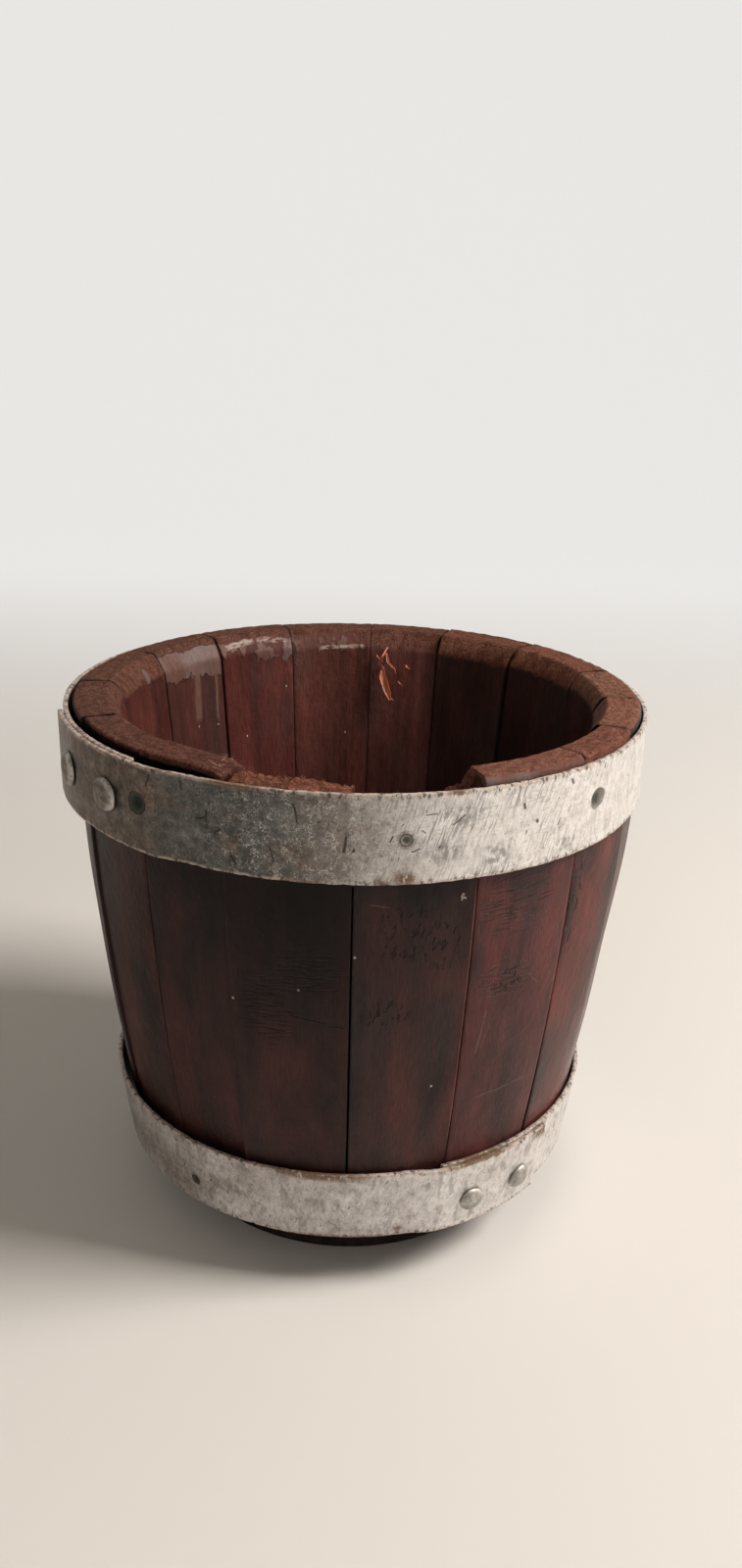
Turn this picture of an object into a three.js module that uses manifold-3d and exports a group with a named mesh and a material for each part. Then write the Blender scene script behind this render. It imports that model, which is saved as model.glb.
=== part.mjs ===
// Coopered cheese mould: tapered staves stand round a turned bottom and are held by two riveted hoops.
// Millimetres, +Z up. The origin is the middle of the foot that the mould stands on, and -Y is the front.

import * as THREE from "three";
import { mergeVertices } from "three/addons/utils/BufferGeometryUtils.js";
import Module from "manifold-3d";

const wasm = await Module();
wasm.setup();

// Staves
const RIM_HEIGHT = 241; // floor to the top of the tallest stave
const FOOT_HEIGHT = 28; // floor to the lower ends of the staves
const RIM_RADIUS = 123.7; // outside of the staves at the rim
const STAVE_END_RADIUS = 102.4; // outside of the staves at their lower ends
const BELLY = 5; // swell of the outside beyond a straight taper, greatest at mid height
const STAVE_THICKNESS = 19; // at both ends: the inside is a straight taper
const STAVE_GAP = 0.3; // between the flat sides of two staves
const RIM_ROUND = 2.5; // rounding of the rim's outer edge
const RIM_BEVEL_WIDTH = 6; // worn bevel inside the rim, across the end grain
const RIM_BEVEL_DEPTH = 9; // the same bevel, down the inside
const FIRST_JOINT_DEG = 17; // where the first stave starts, counted from +X towards +Y
const STAVE_WIDTHS = [58, 50, 43, 49, 48, 47, 57, 57, 48, 41, 50, 48, 48, 41, 48, 47]; // round the rim
// Each stave's top below RIM_HEIGHT, and how far its outside has shrunk
const RIM_DROPS = [3.4, 4, 4.4, 4.4, 4.2, 4.2, 4.2, 4, 3.5, 3, 7, 15, 1.2, 0, 0.8, 2.4];
const STAVE_INSETS = [0.3, 0.2, 0, 0.3, 0, 0.4, 0.2, 1, 2.2, 2.2, 0.2, 0.3, 0, 0.2, 0.4, 0.2];

// Bottom
const BOTTOM_CLEARANCE = 0.3; // between the bottom and the staves
const CROZE_HEIGHT = 10; // lower ends of the staves to the groove that holds the bottom
const CROZE_WIDTH = 8;
const CROZE_DEPTH = 6;
const FOOT_ROUND = 3; // rounding where the foot meets the floor
const DISH_HEIGHT = 46; // floor to the middle of the dished inside
const DISH_ROUND = 8; // corner of the dish, which rounds the edge of the cheese
const DISH_LAND = 2; // flat edge of the bottom against the staves
const DRAIN_RADIUS = 2.5;
const DRAIN_RINGS = [
  { radius: 26, count: 4 },
  { radius: 54, count: 8 },
];

// Hoops, both bent from the same strip
const STRIP_WIDTH = 35;
const STRIP_THICKNESS = 2;
const STRIP_GAP = 0.3; // between the two layers of a lap
const HOOP_CLEARANCE = 0.35; // where a hoop bears on the staves
const HOOP_SLACK = 0.5; // how far the hoops hang off centre
const HOOP_SLACK_DEG = 205; // the side that they hang to
const UPPER_HOOP_DROP = 5.8; // rim to the upper hoop
const UPPER_SPLAY = 0; // share of the staves' taper that the strip was splayed to
const LOWER_SPLAY = 0.75;
const LOWER_HOOP_OVERHANG = 1; // lower hoop below the ends of the staves
const JOGGLE_LENGTH = 15; // where the strip climbs over its own inner end
const UPPER_JOGGLE_LEAD = 12; // lifted strip between the joggle and the lap
const LOWER_JOGGLE_LEAD = 0;
const UPPER_LAP_DEG = 229; // inner end of the upper strip, which runs clockwise from here
const UPPER_LAP_LENGTH = 71;
const UPPER_RIVETS_DEG = [222.9, 207.8];
const UPPER_RIVET_HEAD = 7; // radius
const LOWER_LAP_DEG = 291; // inner end of the lower strip, which runs counter-clockwise from here
const LOWER_LAP_LENGTH = 56;
const LOWER_RIVETS_DEG = [298.8, 312.6];
const LOWER_RIVET_HEAD = 5.6;

// Fasteners, all pointing out of the hoop
const UPPER_RIVET_DROP = 17; // upper edge of the hoop to its fasteners
const UPPER_SCREW_DROP = 15.5;
const UPPER_NAIL_DROP = 17.5;
const LOWER_RIVET_DROP = 21;
const LOWER_NAIL_DROP = 22;
const FASTENER_CLEARANCE = 0.3;
const RIVET_SHANK = 2.5; // radius
const RIVET_HEAD_HEIGHT = 2.2;
const RIVET_TAIL = 3.7; // radius of the countersunk inner end
const RIVET_TAIL_DEPTH = 1.4;
const SCREW_HEAD = 4.2; // radius
const SCREW_HEAD_DEPTH = 2;
const SCREW_RECESS = 0.9; // head below the face of the hoop
const SCREW_SHANK = 2;
const SCREW_LENGTH = 20;
const SCREW_SLOT_WIDTH = 1.1;
const SCREW_SLOT_DEPTH = 0.9;
const NAIL_HEAD = 2.2; // radius
const NAIL_HEAD_DEPTH = 1;
const NAIL_RECESS = 0.3;
const NAIL_SHANK = 1.3;
const NAIL_LENGTH = 15;
const POINT_LENGTH = 4; // tapered end of a screw or nail
const UPPER_SCREWS_DEG = [231.2, 317.6, 52, 142];
const UPPER_NAILS_DEG = [278.6];
const LOWER_NAILS_DEG = [233.4, 54, 144];

// Facets
const ROUND_STEPS = 60; // round the mould
const PIN_STEPS = 16; // round a fastener
const BELLY_STEPS = 8; // up a stave
const CORNER_STEPS = 4; // in a rounded corner

const stavesWood = new THREE.MeshStandardMaterial({ color: 0x3d2320, roughness: 0.55, metalness: 0 });
const bottomWood = new THREE.MeshStandardMaterial({ color: 0x33211b, roughness: 0.7, metalness: 0 });
const hoopMetal = new THREE.MeshStandardMaterial({ color: 0xaca8a0, roughness: 0.45, metalness: 0.9 });
const screwMetal = new THREE.MeshStandardMaterial({ color: 0x34362f, roughness: 0.6, metalness: 0.7 });

const radians = THREE.MathUtils.degToRad;
const hang = new THREE.Vector2(HOOP_SLACK, 0).rotateAround(new THREE.Vector2(), radians(HOOP_SLACK_DEG));

// A closed three.js geometry as a solid that can be joined and cut.
function solid(geometry) {
  const bare = geometry.clone();
  bare.deleteAttribute("normal");
  bare.deleteAttribute("uv");
  const merged = mergeVertices(bare);
  const corners = merged.index.array;
  const triangles = [];
  for (let i = 0; i < corners.length; i += 3) {
    const [a, b, c] = corners.slice(i, i + 3);
    if (a !== b && b !== c && c !== a) triangles.push(a, b, c);
  }
  const vertProperties = merged.attributes.position.array;
  const triVerts = new Uint32Array(triangles);
  return new wasm.Manifold(new wasm.Mesh({ numProp: 3, vertProperties, triVerts }));
}

function geometryOf(body) {
  const mesh = body.getMesh();
  const geometry = new THREE.BufferGeometry();
  geometry.setAttribute("position", new THREE.BufferAttribute(mesh.vertProperties, 3));
  geometry.setIndex(new THREE.BufferAttribute(mesh.triVerts, 1));
  geometry.computeVertexNormals();
  return geometry;
}

// A profile of [radius, height] points turned round +Z. Points run upwards on the outside.
function turned(profile, steps) {
  const points = profile.map(([radius, height]) => new THREE.Vector2(radius, height));
  return new THREE.LatheGeometry(points, steps).rotateX(Math.PI / 2);
}

// Points of a quarter circle between two directions, for a rounded corner.
function corner(centreRadius, centreHeight, round, fromDeg, toDeg) {
  return Array.from({ length: CORNER_STEPS + 1 }, (_, i) => {
    const angle = radians(THREE.MathUtils.lerp(fromDeg, toDeg, i / CORNER_STEPS));
    return [centreRadius + round * Math.cos(angle), centreHeight + round * Math.sin(angle)];
  });
}

// Outside and inside of the wall at a height
function outerRadius(height) {
  const share = (height - FOOT_HEIGHT) / (RIM_HEIGHT - FOOT_HEIGHT);
  return THREE.MathUtils.lerp(STAVE_END_RADIUS, RIM_RADIUS, share) + 4 * BELLY * share * (1 - share);
}

function innerRadius(height) {
  const share = (height - FOOT_HEIGHT) / (RIM_HEIGHT - FOOT_HEIGHT);
  return THREE.MathUtils.lerp(STAVE_END_RADIUS, RIM_RADIUS, share) - STAVE_THICKNESS;
}

// The whole wall as one turned ring: bellied outside, rounded rim, bevel, straight inside and croze.
function wall(inset) {
  const crozeFrom = FOOT_HEIGHT + CROZE_HEIGHT;
  const crozeTo = crozeFrom + CROZE_WIDTH;
  const roundFrom = RIM_HEIGHT - RIM_ROUND;
  const outside = Array.from({ length: BELLY_STEPS + 1 }, (_, i) => {
    const height = THREE.MathUtils.lerp(FOOT_HEIGHT, roundFrom, i / BELLY_STEPS);
    return [outerRadius(height) - inset, height];
  });
  const rim = corner(outerRadius(roundFrom) - inset - RIM_ROUND, roundFrom, RIM_ROUND, 0, 90).slice(1);
  const bevelFoot = RIM_HEIGHT - RIM_BEVEL_DEPTH;
  const inside = [
    [innerRadius(RIM_HEIGHT) + RIM_BEVEL_WIDTH, RIM_HEIGHT],
    [innerRadius(bevelFoot), bevelFoot],
    [innerRadius(crozeTo), crozeTo],
    [innerRadius(crozeTo) + CROZE_DEPTH, crozeTo],
    [innerRadius(crozeFrom) + CROZE_DEPTH, crozeFrom],
    [innerRadius(crozeFrom), crozeFrom],
    [innerRadius(FOOT_HEIGHT), FOOT_HEIGHT],
  ];
  return solid(turned([...outside, ...rim, ...inside, outside[0]], ROUND_STEPS));
}

// A prism between two joints, drawn in by half a gap on both flat sides and ending at the stave's own top.
function staveWedge(fromAngle, toAngle, top) {
  const half = (toAngle - fromAngle) / 2;
  const middle = fromAngle + half;
  const inset = STAVE_GAP / 2 / Math.sin(half);
  const reach = 2 * RIM_RADIUS;
  const apex = new THREE.Vector2(Math.cos(middle), Math.sin(middle)).multiplyScalar(inset);
  const along = (angle) =>
    new THREE.Vector2(Math.cos(angle), Math.sin(angle)).multiplyScalar(reach).add(apex);
  const outline = new THREE.Shape([apex, along(fromAngle), along(toAngle)]);
  return solid(new THREE.ExtrudeGeometry(outline, { depth: top, bevelEnabled: false }));
}

// A hoop: one strip bent round the staves and splayed to their taper, with its outer end over its inner end.
// It is loose by the slack, and hangs to one side by as much.
function makeHoop({ top, splayShare, lapDeg, lapLength, joggleLead, turn }) {
  const bottom = top - STRIP_WIDTH;
  const splay = (splayShare * (outerRadius(top) - outerRadius(bottom))) / STRIP_WIDTH;
  const swell = BELLY * (STRIP_WIDTH / (RIM_HEIGHT - FOOT_HEIGHT)) ** 2;
  const seat = outerRadius(top) + swell + HOOP_CLEARANCE + HOOP_SLACK;
  const lift = STRIP_THICKNESS + STRIP_GAP;
  const lap = lapLength / seat;
  const joggleTo = 2 * Math.PI - joggleLead / seat;
  const joggleFrom = joggleTo - JOGGLE_LENGTH / seat;
  const riseAt = (run) => lift * THREE.MathUtils.smoothstep(run, joggleFrom, joggleTo);
  const angleAt = (run) => radians(lapDeg) + turn * run;
  const innerAt = (run, height) => seat + riseAt(run) - splay * (top - height);

  const steps = Math.round((ROUND_STEPS * (2 * Math.PI + lap)) / (2 * Math.PI));
  const edge = (offset) =>
    Array.from({ length: steps + 1 }, (_, i) => {
      const run = ((2 * Math.PI + lap) * i) / steps;
      const radius = innerAt(run, top) + offset;
      return new THREE.Vector2(radius * Math.cos(angleAt(run)), radius * Math.sin(angleAt(run)));
    });
  const outline = new THREE.Shape([...edge(0), ...edge(STRIP_THICKNESS).reverse()]);
  const geometry = new THREE.ExtrudeGeometry(outline, { depth: STRIP_WIDTH, bevelEnabled: false });
  geometry.translate(0, 0, bottom);
  const position = geometry.getAttribute("position");
  for (let i = 0; i < position.count; i++) {
    const [x, y, z] = [position.getX(i), position.getY(i), position.getZ(i)];
    const scale = 1 - (splay * (top - z)) / Math.hypot(x, y);
    position.setXY(i, x * scale + hang.x, y * scale + hang.y);
  }
  return { body: solid(geometry), seat, splay, lap, angleAt, innerAt };
}

// How far along the strip a place at an angle lies, counted from the strip's inner end
function runTo(hoop, { lapDeg, turn }, angleDeg) {
  const run = THREE.MathUtils.euclideanModulo(turn * radians(angleDeg - lapDeg), 2 * Math.PI);
  return run < hoop.lap ? run + 2 * Math.PI : run;
}

// Fasteners point up +Z, with the face of the hoop at height 0.
function rivet(headRadius) {
  const inner = -2 * STRIP_THICKNESS - STRIP_GAP;
  const crown = 0.55 * headRadius; // the hammered flat on the head
  return turned(
    [
      [0, inner],
      [RIVET_TAIL, inner],
      [RIVET_SHANK, inner + RIVET_TAIL_DEPTH],
      [RIVET_SHANK, FASTENER_CLEARANCE],
      [headRadius, FASTENER_CLEARANCE],
      [0.93 * headRadius, FASTENER_CLEARANCE + 0.6 * RIVET_HEAD_HEIGHT],
      [crown, FASTENER_CLEARANCE + RIVET_HEAD_HEIGHT],
      [0, FASTENER_CLEARANCE + RIVET_HEAD_HEIGHT],
    ],
    PIN_STEPS,
  );
}

function rivetHole() {
  const inner = -2 * STRIP_THICKNESS - STRIP_GAP;
  const tail = RIVET_TAIL + FASTENER_CLEARANCE;
  const shank = RIVET_SHANK + FASTENER_CLEARANCE;
  const through = STRIP_THICKNESS; // runs clear of both faces
  return turned(
    [
      [0, inner - through],
      [tail, inner - through],
      [tail, inner],
      [shank, inner + RIVET_TAIL_DEPTH],
      [shank, through],
      [0, through],
    ],
    PIN_STEPS,
  );
}

// A pin with a head let into the hoop: a slotted screw has a tapered seat, a nail a flat one.
function pinProfile({ head, headDepth, recess, shank, length, seatDepth }, extra = 0) {
  return [
    [0, -length - extra],
    [shank + extra, -length + POINT_LENGTH - extra],
    [shank + extra, -recess - headDepth - extra],
    [head + extra, -recess - headDepth + seatDepth - extra],
    [head + extra, -recess],
  ];
}

const SCREW = {
  head: SCREW_HEAD,
  headDepth: SCREW_HEAD_DEPTH,
  recess: SCREW_RECESS,
  shank: SCREW_SHANK,
  length: SCREW_LENGTH,
  seatDepth: SCREW_HEAD_DEPTH,
};
const NAIL = {
  head: NAIL_HEAD,
  headDepth: NAIL_HEAD_DEPTH,
  recess: NAIL_RECESS,
  shank: NAIL_SHANK,
  length: NAIL_LENGTH,
  seatDepth: 0,
};

function pin(kind) {
  return turned([...pinProfile(kind), [0, -kind.recess]], PIN_STEPS);
}

function pinHole(kind) {
  const above = STRIP_THICKNESS;
  const profile = pinProfile(kind, FASTENER_CLEARANCE);
  return turned([...profile, [kind.head + FASTENER_CLEARANCE, above], [0, above]], PIN_STEPS);
}

function screw() {
  const slot = new THREE.BoxGeometry(2.2 * SCREW_HEAD, SCREW_SLOT_WIDTH, 2 * SCREW_SLOT_DEPTH);
  slot.translate(0, 0, -SCREW_RECESS);
  return geometryOf(solid(pin(SCREW)).subtract(solid(slot)));
}

function named(name, geometry, material) {
  const mesh = new THREE.Mesh(geometry, material);
  mesh.name = name;
  return mesh;
}

// A pivot in the middle of a hoop that carries a fastener out to the hoop's face, square to its splay
function outward(mesh, angle, radius, height, splay) {
  const pivot = new THREE.Group();
  pivot.position.set(hang.x, hang.y, height);
  pivot.rotation.z = angle;
  mesh.position.x = radius;
  mesh.rotation.y = Math.PI / 2 + Math.atan(splay);
  pivot.add(mesh);
  return pivot;
}

const mould = new THREE.Group();
const pilotHoles = [];

// One hoop with its rivets, screws and nails
function addHoop(label, plan) {
  const hoop = makeHoop(plan);
  const group = new THREE.Group();
  const fasteners = [];
  const { rivets, screws, nails } = plan;
  rivets.forEach((angleDeg, i) => {
    const mesh = named(`${label}_hoop_rivet_${i + 1}`, rivet(plan.rivetHead), hoopMetal);
    fasteners.push({ mesh, angleDeg, drop: plan.rivetDrop, hole: rivetHole(), inStave: false });
  });
  screws.forEach((angleDeg, i) => {
    const mesh = named(`${label}_hoop_screw_${i + 1}`, screw(), screwMetal);
    fasteners.push({ mesh, angleDeg, drop: UPPER_SCREW_DROP, hole: pinHole(SCREW), inStave: true });
  });
  nails.forEach((angleDeg, i) => {
    const mesh = named(`${label}_hoop_nail_${i + 1}`, pin(NAIL), screwMetal);
    fasteners.push({ mesh, angleDeg, drop: plan.nailDrop, hole: pinHole(NAIL), inStave: true });
  });

  let body = hoop.body;
  for (const { mesh, angleDeg, drop, hole, inStave } of fasteners) {
    const run = runTo(hoop, plan, angleDeg);
    const height = plan.top - drop;
    const radius = hoop.innerAt(run, height) + STRIP_THICKNESS;
    const pivot = outward(mesh, hoop.angleAt(run), radius, height, hoop.splay);
    pivot.updateMatrixWorld(true);
    hole.applyMatrix4(mesh.matrixWorld);
    body = body.subtract(solid(hole));
    group.add(pivot);
    if (inStave) pilotHoles.push(solid(hole));
  }
  group.add(named(`${label}_hoop`, geometryOf(body), hoopMetal));
  mould.add(group);
}

addHoop("upper", {
  top: RIM_HEIGHT - UPPER_HOOP_DROP,
  lapDeg: UPPER_LAP_DEG,
  lapLength: UPPER_LAP_LENGTH,
  joggleLead: UPPER_JOGGLE_LEAD,
  turn: -1,
  splayShare: UPPER_SPLAY,
  rivets: UPPER_RIVETS_DEG,
  rivetHead: UPPER_RIVET_HEAD,
  rivetDrop: UPPER_RIVET_DROP,
  screws: UPPER_SCREWS_DEG,
  nails: UPPER_NAILS_DEG,
  nailDrop: UPPER_NAIL_DROP,
});
addHoop("lower", {
  top: FOOT_HEIGHT - LOWER_HOOP_OVERHANG + STRIP_WIDTH,
  lapDeg: LOWER_LAP_DEG,
  lapLength: LOWER_LAP_LENGTH,
  joggleLead: LOWER_JOGGLE_LEAD,
  turn: 1,
  splayShare: LOWER_SPLAY,
  rivets: LOWER_RIVETS_DEG,
  rivetHead: LOWER_RIVET_HEAD,
  rivetDrop: LOWER_RIVET_DROP,
  screws: [],
  nails: LOWER_NAILS_DEG,
  nailDrop: LOWER_NAIL_DROP,
});

// Staves, each cut from a turned wall at joints spaced by their own widths
const totalWidth = STAVE_WIDTHS.reduce((sum, width) => sum + width, 0);
let joint = radians(FIRST_JOINT_DEG);
STAVE_WIDTHS.forEach((width, i) => {
  const next = joint + (2 * Math.PI * width) / totalWidth;
  let stave = wall(STAVE_INSETS[i]).intersect(staveWedge(joint, next, RIM_HEIGHT - RIM_DROPS[i]));
  for (const hole of pilotHoles) stave = stave.subtract(hole);
  mould.add(named(`stave_${String(i + 1).padStart(2, "0")}`, geometryOf(stave), stavesWood));
  joint = next;
});

// Bottom: a turned block with a foot below, a flange in the croze and a dished, drained inside
function bottomBoard() {
  const fit = (height) => innerRadius(height) - BOTTOM_CLEARANCE;
  const flangeFrom = FOOT_HEIGHT + CROZE_HEIGHT + BOTTOM_CLEARANCE;
  const flangeTo = flangeFrom + CROZE_WIDTH - 2 * BOTTOM_CLEARANCE;
  const landHeight = DISH_HEIGHT + DISH_ROUND;
  const foot = fit(FOOT_HEIGHT);
  const dishEdge = fit(landHeight) - DISH_LAND;
  let body = solid(
    turned(
      [
        [0, 0],
        ...corner(foot - FOOT_ROUND, FOOT_ROUND, FOOT_ROUND, -90, 0),
        [foot, FOOT_HEIGHT],
        [fit(flangeFrom), flangeFrom],
        [fit(flangeFrom) + CROZE_DEPTH, flangeFrom],
        [fit(flangeTo) + CROZE_DEPTH, flangeTo],
        [fit(flangeTo), flangeTo],
        [fit(landHeight), landHeight],
        ...corner(dishEdge - DISH_ROUND, landHeight, DISH_ROUND, 0, -90),
        [0, DISH_HEIGHT],
      ],
      ROUND_STEPS,
    ),
  );
  for (const { radius, count } of DRAIN_RINGS) {
    for (let i = 0; i < count; i++) {
      const angle = (2 * Math.PI * (i + 0.5)) / count;
      const drain = new THREE.CylinderGeometry(DRAIN_RADIUS, DRAIN_RADIUS, 3 * DISH_HEIGHT, PIN_STEPS);
      drain.rotateX(Math.PI / 2).translate(radius * Math.cos(angle), radius * Math.sin(angle), 0);
      body = body.subtract(solid(drain));
    }
  }
  return named("bottom_board", geometryOf(body), bottomWood);
}

mould.add(bottomBoard());

export default mould;
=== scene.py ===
# %% [markdown]
# A coopered cheese mould.
# Sixteen dark staves stand round a turned bottom and two riveted metal strips hold them together.
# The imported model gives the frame: the pieces made below take the place of its nodes, and only the loose
# fibres and a splinter are added to them.

import math
import random
from types import SimpleNamespace

import bpy
import numpy as np
from mathutils import Matrix, Vector, noise


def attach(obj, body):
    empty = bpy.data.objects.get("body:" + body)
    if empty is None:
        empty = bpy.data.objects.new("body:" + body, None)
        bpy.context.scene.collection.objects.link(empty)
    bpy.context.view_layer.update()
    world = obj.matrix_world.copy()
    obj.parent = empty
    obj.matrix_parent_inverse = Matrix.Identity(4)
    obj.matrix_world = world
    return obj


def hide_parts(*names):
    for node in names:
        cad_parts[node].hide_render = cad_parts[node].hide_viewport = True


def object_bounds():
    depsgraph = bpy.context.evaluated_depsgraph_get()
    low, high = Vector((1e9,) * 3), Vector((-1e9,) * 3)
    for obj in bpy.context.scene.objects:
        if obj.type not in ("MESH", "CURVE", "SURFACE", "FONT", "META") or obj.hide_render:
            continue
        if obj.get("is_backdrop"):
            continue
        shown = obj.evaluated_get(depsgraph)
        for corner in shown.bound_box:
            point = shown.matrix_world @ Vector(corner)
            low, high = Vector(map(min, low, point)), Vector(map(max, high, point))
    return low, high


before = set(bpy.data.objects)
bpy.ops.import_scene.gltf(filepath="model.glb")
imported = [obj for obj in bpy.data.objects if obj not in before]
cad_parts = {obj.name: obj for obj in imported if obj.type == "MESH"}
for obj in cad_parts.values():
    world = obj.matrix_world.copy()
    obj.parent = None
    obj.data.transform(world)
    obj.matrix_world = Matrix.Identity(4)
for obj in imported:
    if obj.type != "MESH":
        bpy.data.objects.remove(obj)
cad_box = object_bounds()
print("nodes in the frame:", len(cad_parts))

# %% [markdown]
# The sizes are those of the solid model, in millimetres, so that each new piece fits its node.
# The wall is a taper with a slight belly outside and a straight taper inside.
# Every stave has its own width and height, and those at the left front have shrunk away from the hoops.
# The tops at the right are worn a little lower than the solids.

# %% Sizes of the wall
MM = 0.001
RIM_HEIGHT = 241
FOOT_HEIGHT = 28
RIM_RADIUS = 123.7
END_RADIUS = 102.4
BELLY = 5
THICKNESS = 19
FIRST_JOINT_DEG = 17
STAVE_WIDTHS = [58, 50, 43, 49, 48, 47, 57, 57, 48, 41, 50, 48, 48, 41, 48, 47]
RIM_DROPS = [3.8, 4, 4.4, 4.4, 4.2, 4.2, 4.2, 4, 3.5, 3, 7, 15, 2.6, 2.5, 2.9, 3.5]
STAVE_INSETS = [0.3, 0.2, 0, 0.3, 0, 0.4, 0.2, 1, 2.2, 2.2, 0.2, 0.3, 0, 0.2, 0.4, 0.2]

joints = [FIRST_JOINT_DEG]
for width in STAVE_WIDTHS:
    joints.append(joints[-1] + 360 * width / sum(STAVE_WIDTHS))


def share_up(height):
    return (height - FOOT_HEIGHT) / (RIM_HEIGHT - FOOT_HEIGHT)


def outer_radius(height):
    u = share_up(height)
    return END_RADIUS + (RIM_RADIUS - END_RADIUS) * u + 4 * BELLY * u * (1 - u)


def inner_radius(height):
    return END_RADIUS + (RIM_RADIUS - END_RADIUS) * share_up(height) - THICKNESS


def smooth_step(value, low, high):
    t = np.clip((value - low) / (high - low), 0, 1)
    return t * t * (3 - 2 * t)


print("outside at the rim:", outer_radius(RIM_HEIGHT), "mm; joints at", [round(j) for j in joints])

# %% [markdown]
# The camera stands where the photographer stood: half a metre in front, a little above the rim.
# It looks down by about 21 degrees, and it is tilted a little, as a camera held in the hand is.
# Its place could be found by trial, but the ovals of the two hoops give it, so it is simply set here.

# %% Camera
CAMERA_PLACE = (0, -0.525, 0.3907)
PITCH = 0.3633
YAW = 0.0134
ROLL = 0.0269
FRAME_HEIGHT_PX = 1600
FOCAL_PX = 1260
SENSOR = 24

forward = Vector((math.sin(YAW) * math.cos(PITCH), math.cos(YAW) * math.cos(PITCH), -math.sin(PITCH)))
level = forward.cross(Vector((0, 0, 1))).normalized()
upright = level.cross(forward)
right = level * math.cos(ROLL) + upright * math.sin(ROLL)
up = upright * math.cos(ROLL) - level * math.sin(ROLL)
turn = Matrix((right, up, -forward)).transposed()

bpy.ops.object.select_all(action="DESELECT")
bpy.ops.object.camera_add(location=CAMERA_PLACE)
camera = bpy.context.object
camera.matrix_world = Matrix.Translation(CAMERA_PLACE) @ turn.to_4x4()
camera.data.sensor_fit = "VERTICAL"
camera.data.sensor_height = SENSOR
camera.data.lens = SENSOR * FOCAL_PX / FRAME_HEIGHT_PX
bpy.context.scene.camera = camera
bpy.context.scene.view_settings.view_transform = "Standard"
print("lens:", round(camera.data.lens, 2), "mm on a", SENSOR, "mm sensor")

# %% [markdown]
# A material is a small network of nodes, so a few helpers keep the networks short to read.
# Each helper adds one node or a few, sets or links their inputs, and hands back the output that is used
# next. All of it could be wired by hand in the shader editor, but a network in code can be made again.

# %% Helpers for materials
def new_material(name):
    material = bpy.data.materials.new(name)
    material.use_nodes = True
    tree = material.node_tree
    return material, tree, tree.nodes["Principled BSDF"]


def put(tree, kind, inputs, **settings):
    node = tree.nodes.new(kind)
    for key, value in settings.items():
        setattr(node, key, value)
    for key, value in inputs.items():
        if isinstance(value, bpy.types.NodeSocket):
            tree.links.new(value, node.inputs[key])
        else:
            node.inputs[key].default_value = value
    return node


def feed(shader, name, value):
    shader.id_data.links.new(value, shader.inputs[name])


def object_place(tree):
    return put(tree, "ShaderNodeTexCoord", {}).outputs["Object"]


def axes_of(tree, vector):
    return put(tree, "ShaderNodeSeparateXYZ", {"Vector": vector}).outputs


def attribute(tree, name, output="Fac"):
    return put(tree, "ShaderNodeAttribute", {}, attribute_name=name).outputs[output]


def calc(tree, operation, first, second=0.0):
    return put(tree, "ShaderNodeMath", {0: first, 1: second}, operation=operation).outputs["Value"]


def vector_calc(tree, operation, inputs, output=0):
    return put(tree, "ShaderNodeVectorMath", inputs, operation=operation).outputs[output]


def product(tree, *values):
    result = values[0]
    for value in values[1:]:
        result = calc(tree, "MULTIPLY", result, value)
    return result


def largest(tree, values):
    result = values[0]
    for value in values[1:]:
        result = calc(tree, "MAXIMUM", result, value)
    return result


def between(tree, value, low, high, to_low=0.0, to_high=1.0):
    inputs = {"Value": value, "From Min": low, "From Max": high, "To Min": to_low, "To Max": to_high}
    return put(tree, "ShaderNodeMapRange", inputs, interpolation_type="SMOOTHSTEP").outputs["Result"]


# %% [markdown]
# Patterns are given by the size of their features, in the units of the coordinates that they are drawn on.
# A stroke and a spot are single marks at a known place, and shaken coordinates make them look drawn by hand.

# %% Helpers for patterns
ANY_DEPTH = 1000


def spread(tree, vector, sizes, turned_deg=0.0, shift=(0, 0, 0)):
    triple = sizes if isinstance(sizes, tuple) else (sizes, sizes, sizes)
    turned = (0, math.radians(turned_deg), 0)
    inputs = {"Vector": vector, "Scale": triple, "Rotation": turned, "Location": shift}
    return put(tree, "ShaderNodeMapping", inputs, vector_type="TEXTURE").outputs["Vector"]


def cloud(tree, vector, sizes, detail=4.0, roughness=0.55, turned_deg=0.0, shift=(0, 0, 0), swirl=0.0):
    place = spread(tree, vector, sizes, turned_deg, shift)
    inputs = {"Vector": place, "Scale": 1.0, "Detail": detail, "Roughness": roughness, "Distortion": swirl}
    return put(tree, "ShaderNodeTexNoise", inputs).outputs["Fac"]


def cells(tree, vector, sizes, output="Distance"):
    inputs = {"Vector": spread(tree, vector, sizes), "Scale": 1.0}
    return put(tree, "ShaderNodeTexVoronoi", inputs).outputs[output]


def specks(tree, vector, size, share, reach):
    near = between(tree, cells(tree, vector, size), reach, 0.55 * reach)
    return product(tree, near, between(tree, cells(tree, vector, size, "Color"), 1 - share, 1.02 - share))


def shake(tree, vector, size, amount):
    inputs = {"Vector": spread(tree, vector, size), "Scale": 1.0}
    swirl = put(tree, "ShaderNodeTexNoise", inputs).outputs["Color"]
    centred = vector_calc(tree, "SUBTRACT", {0: swirl, 1: (0.5, 0.5, 0.5)})
    scaled = vector_calc(tree, "SCALE", {0: centred, "Scale": amount})
    return vector_calc(tree, "ADD", {0: vector, 1: scaled})


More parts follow.
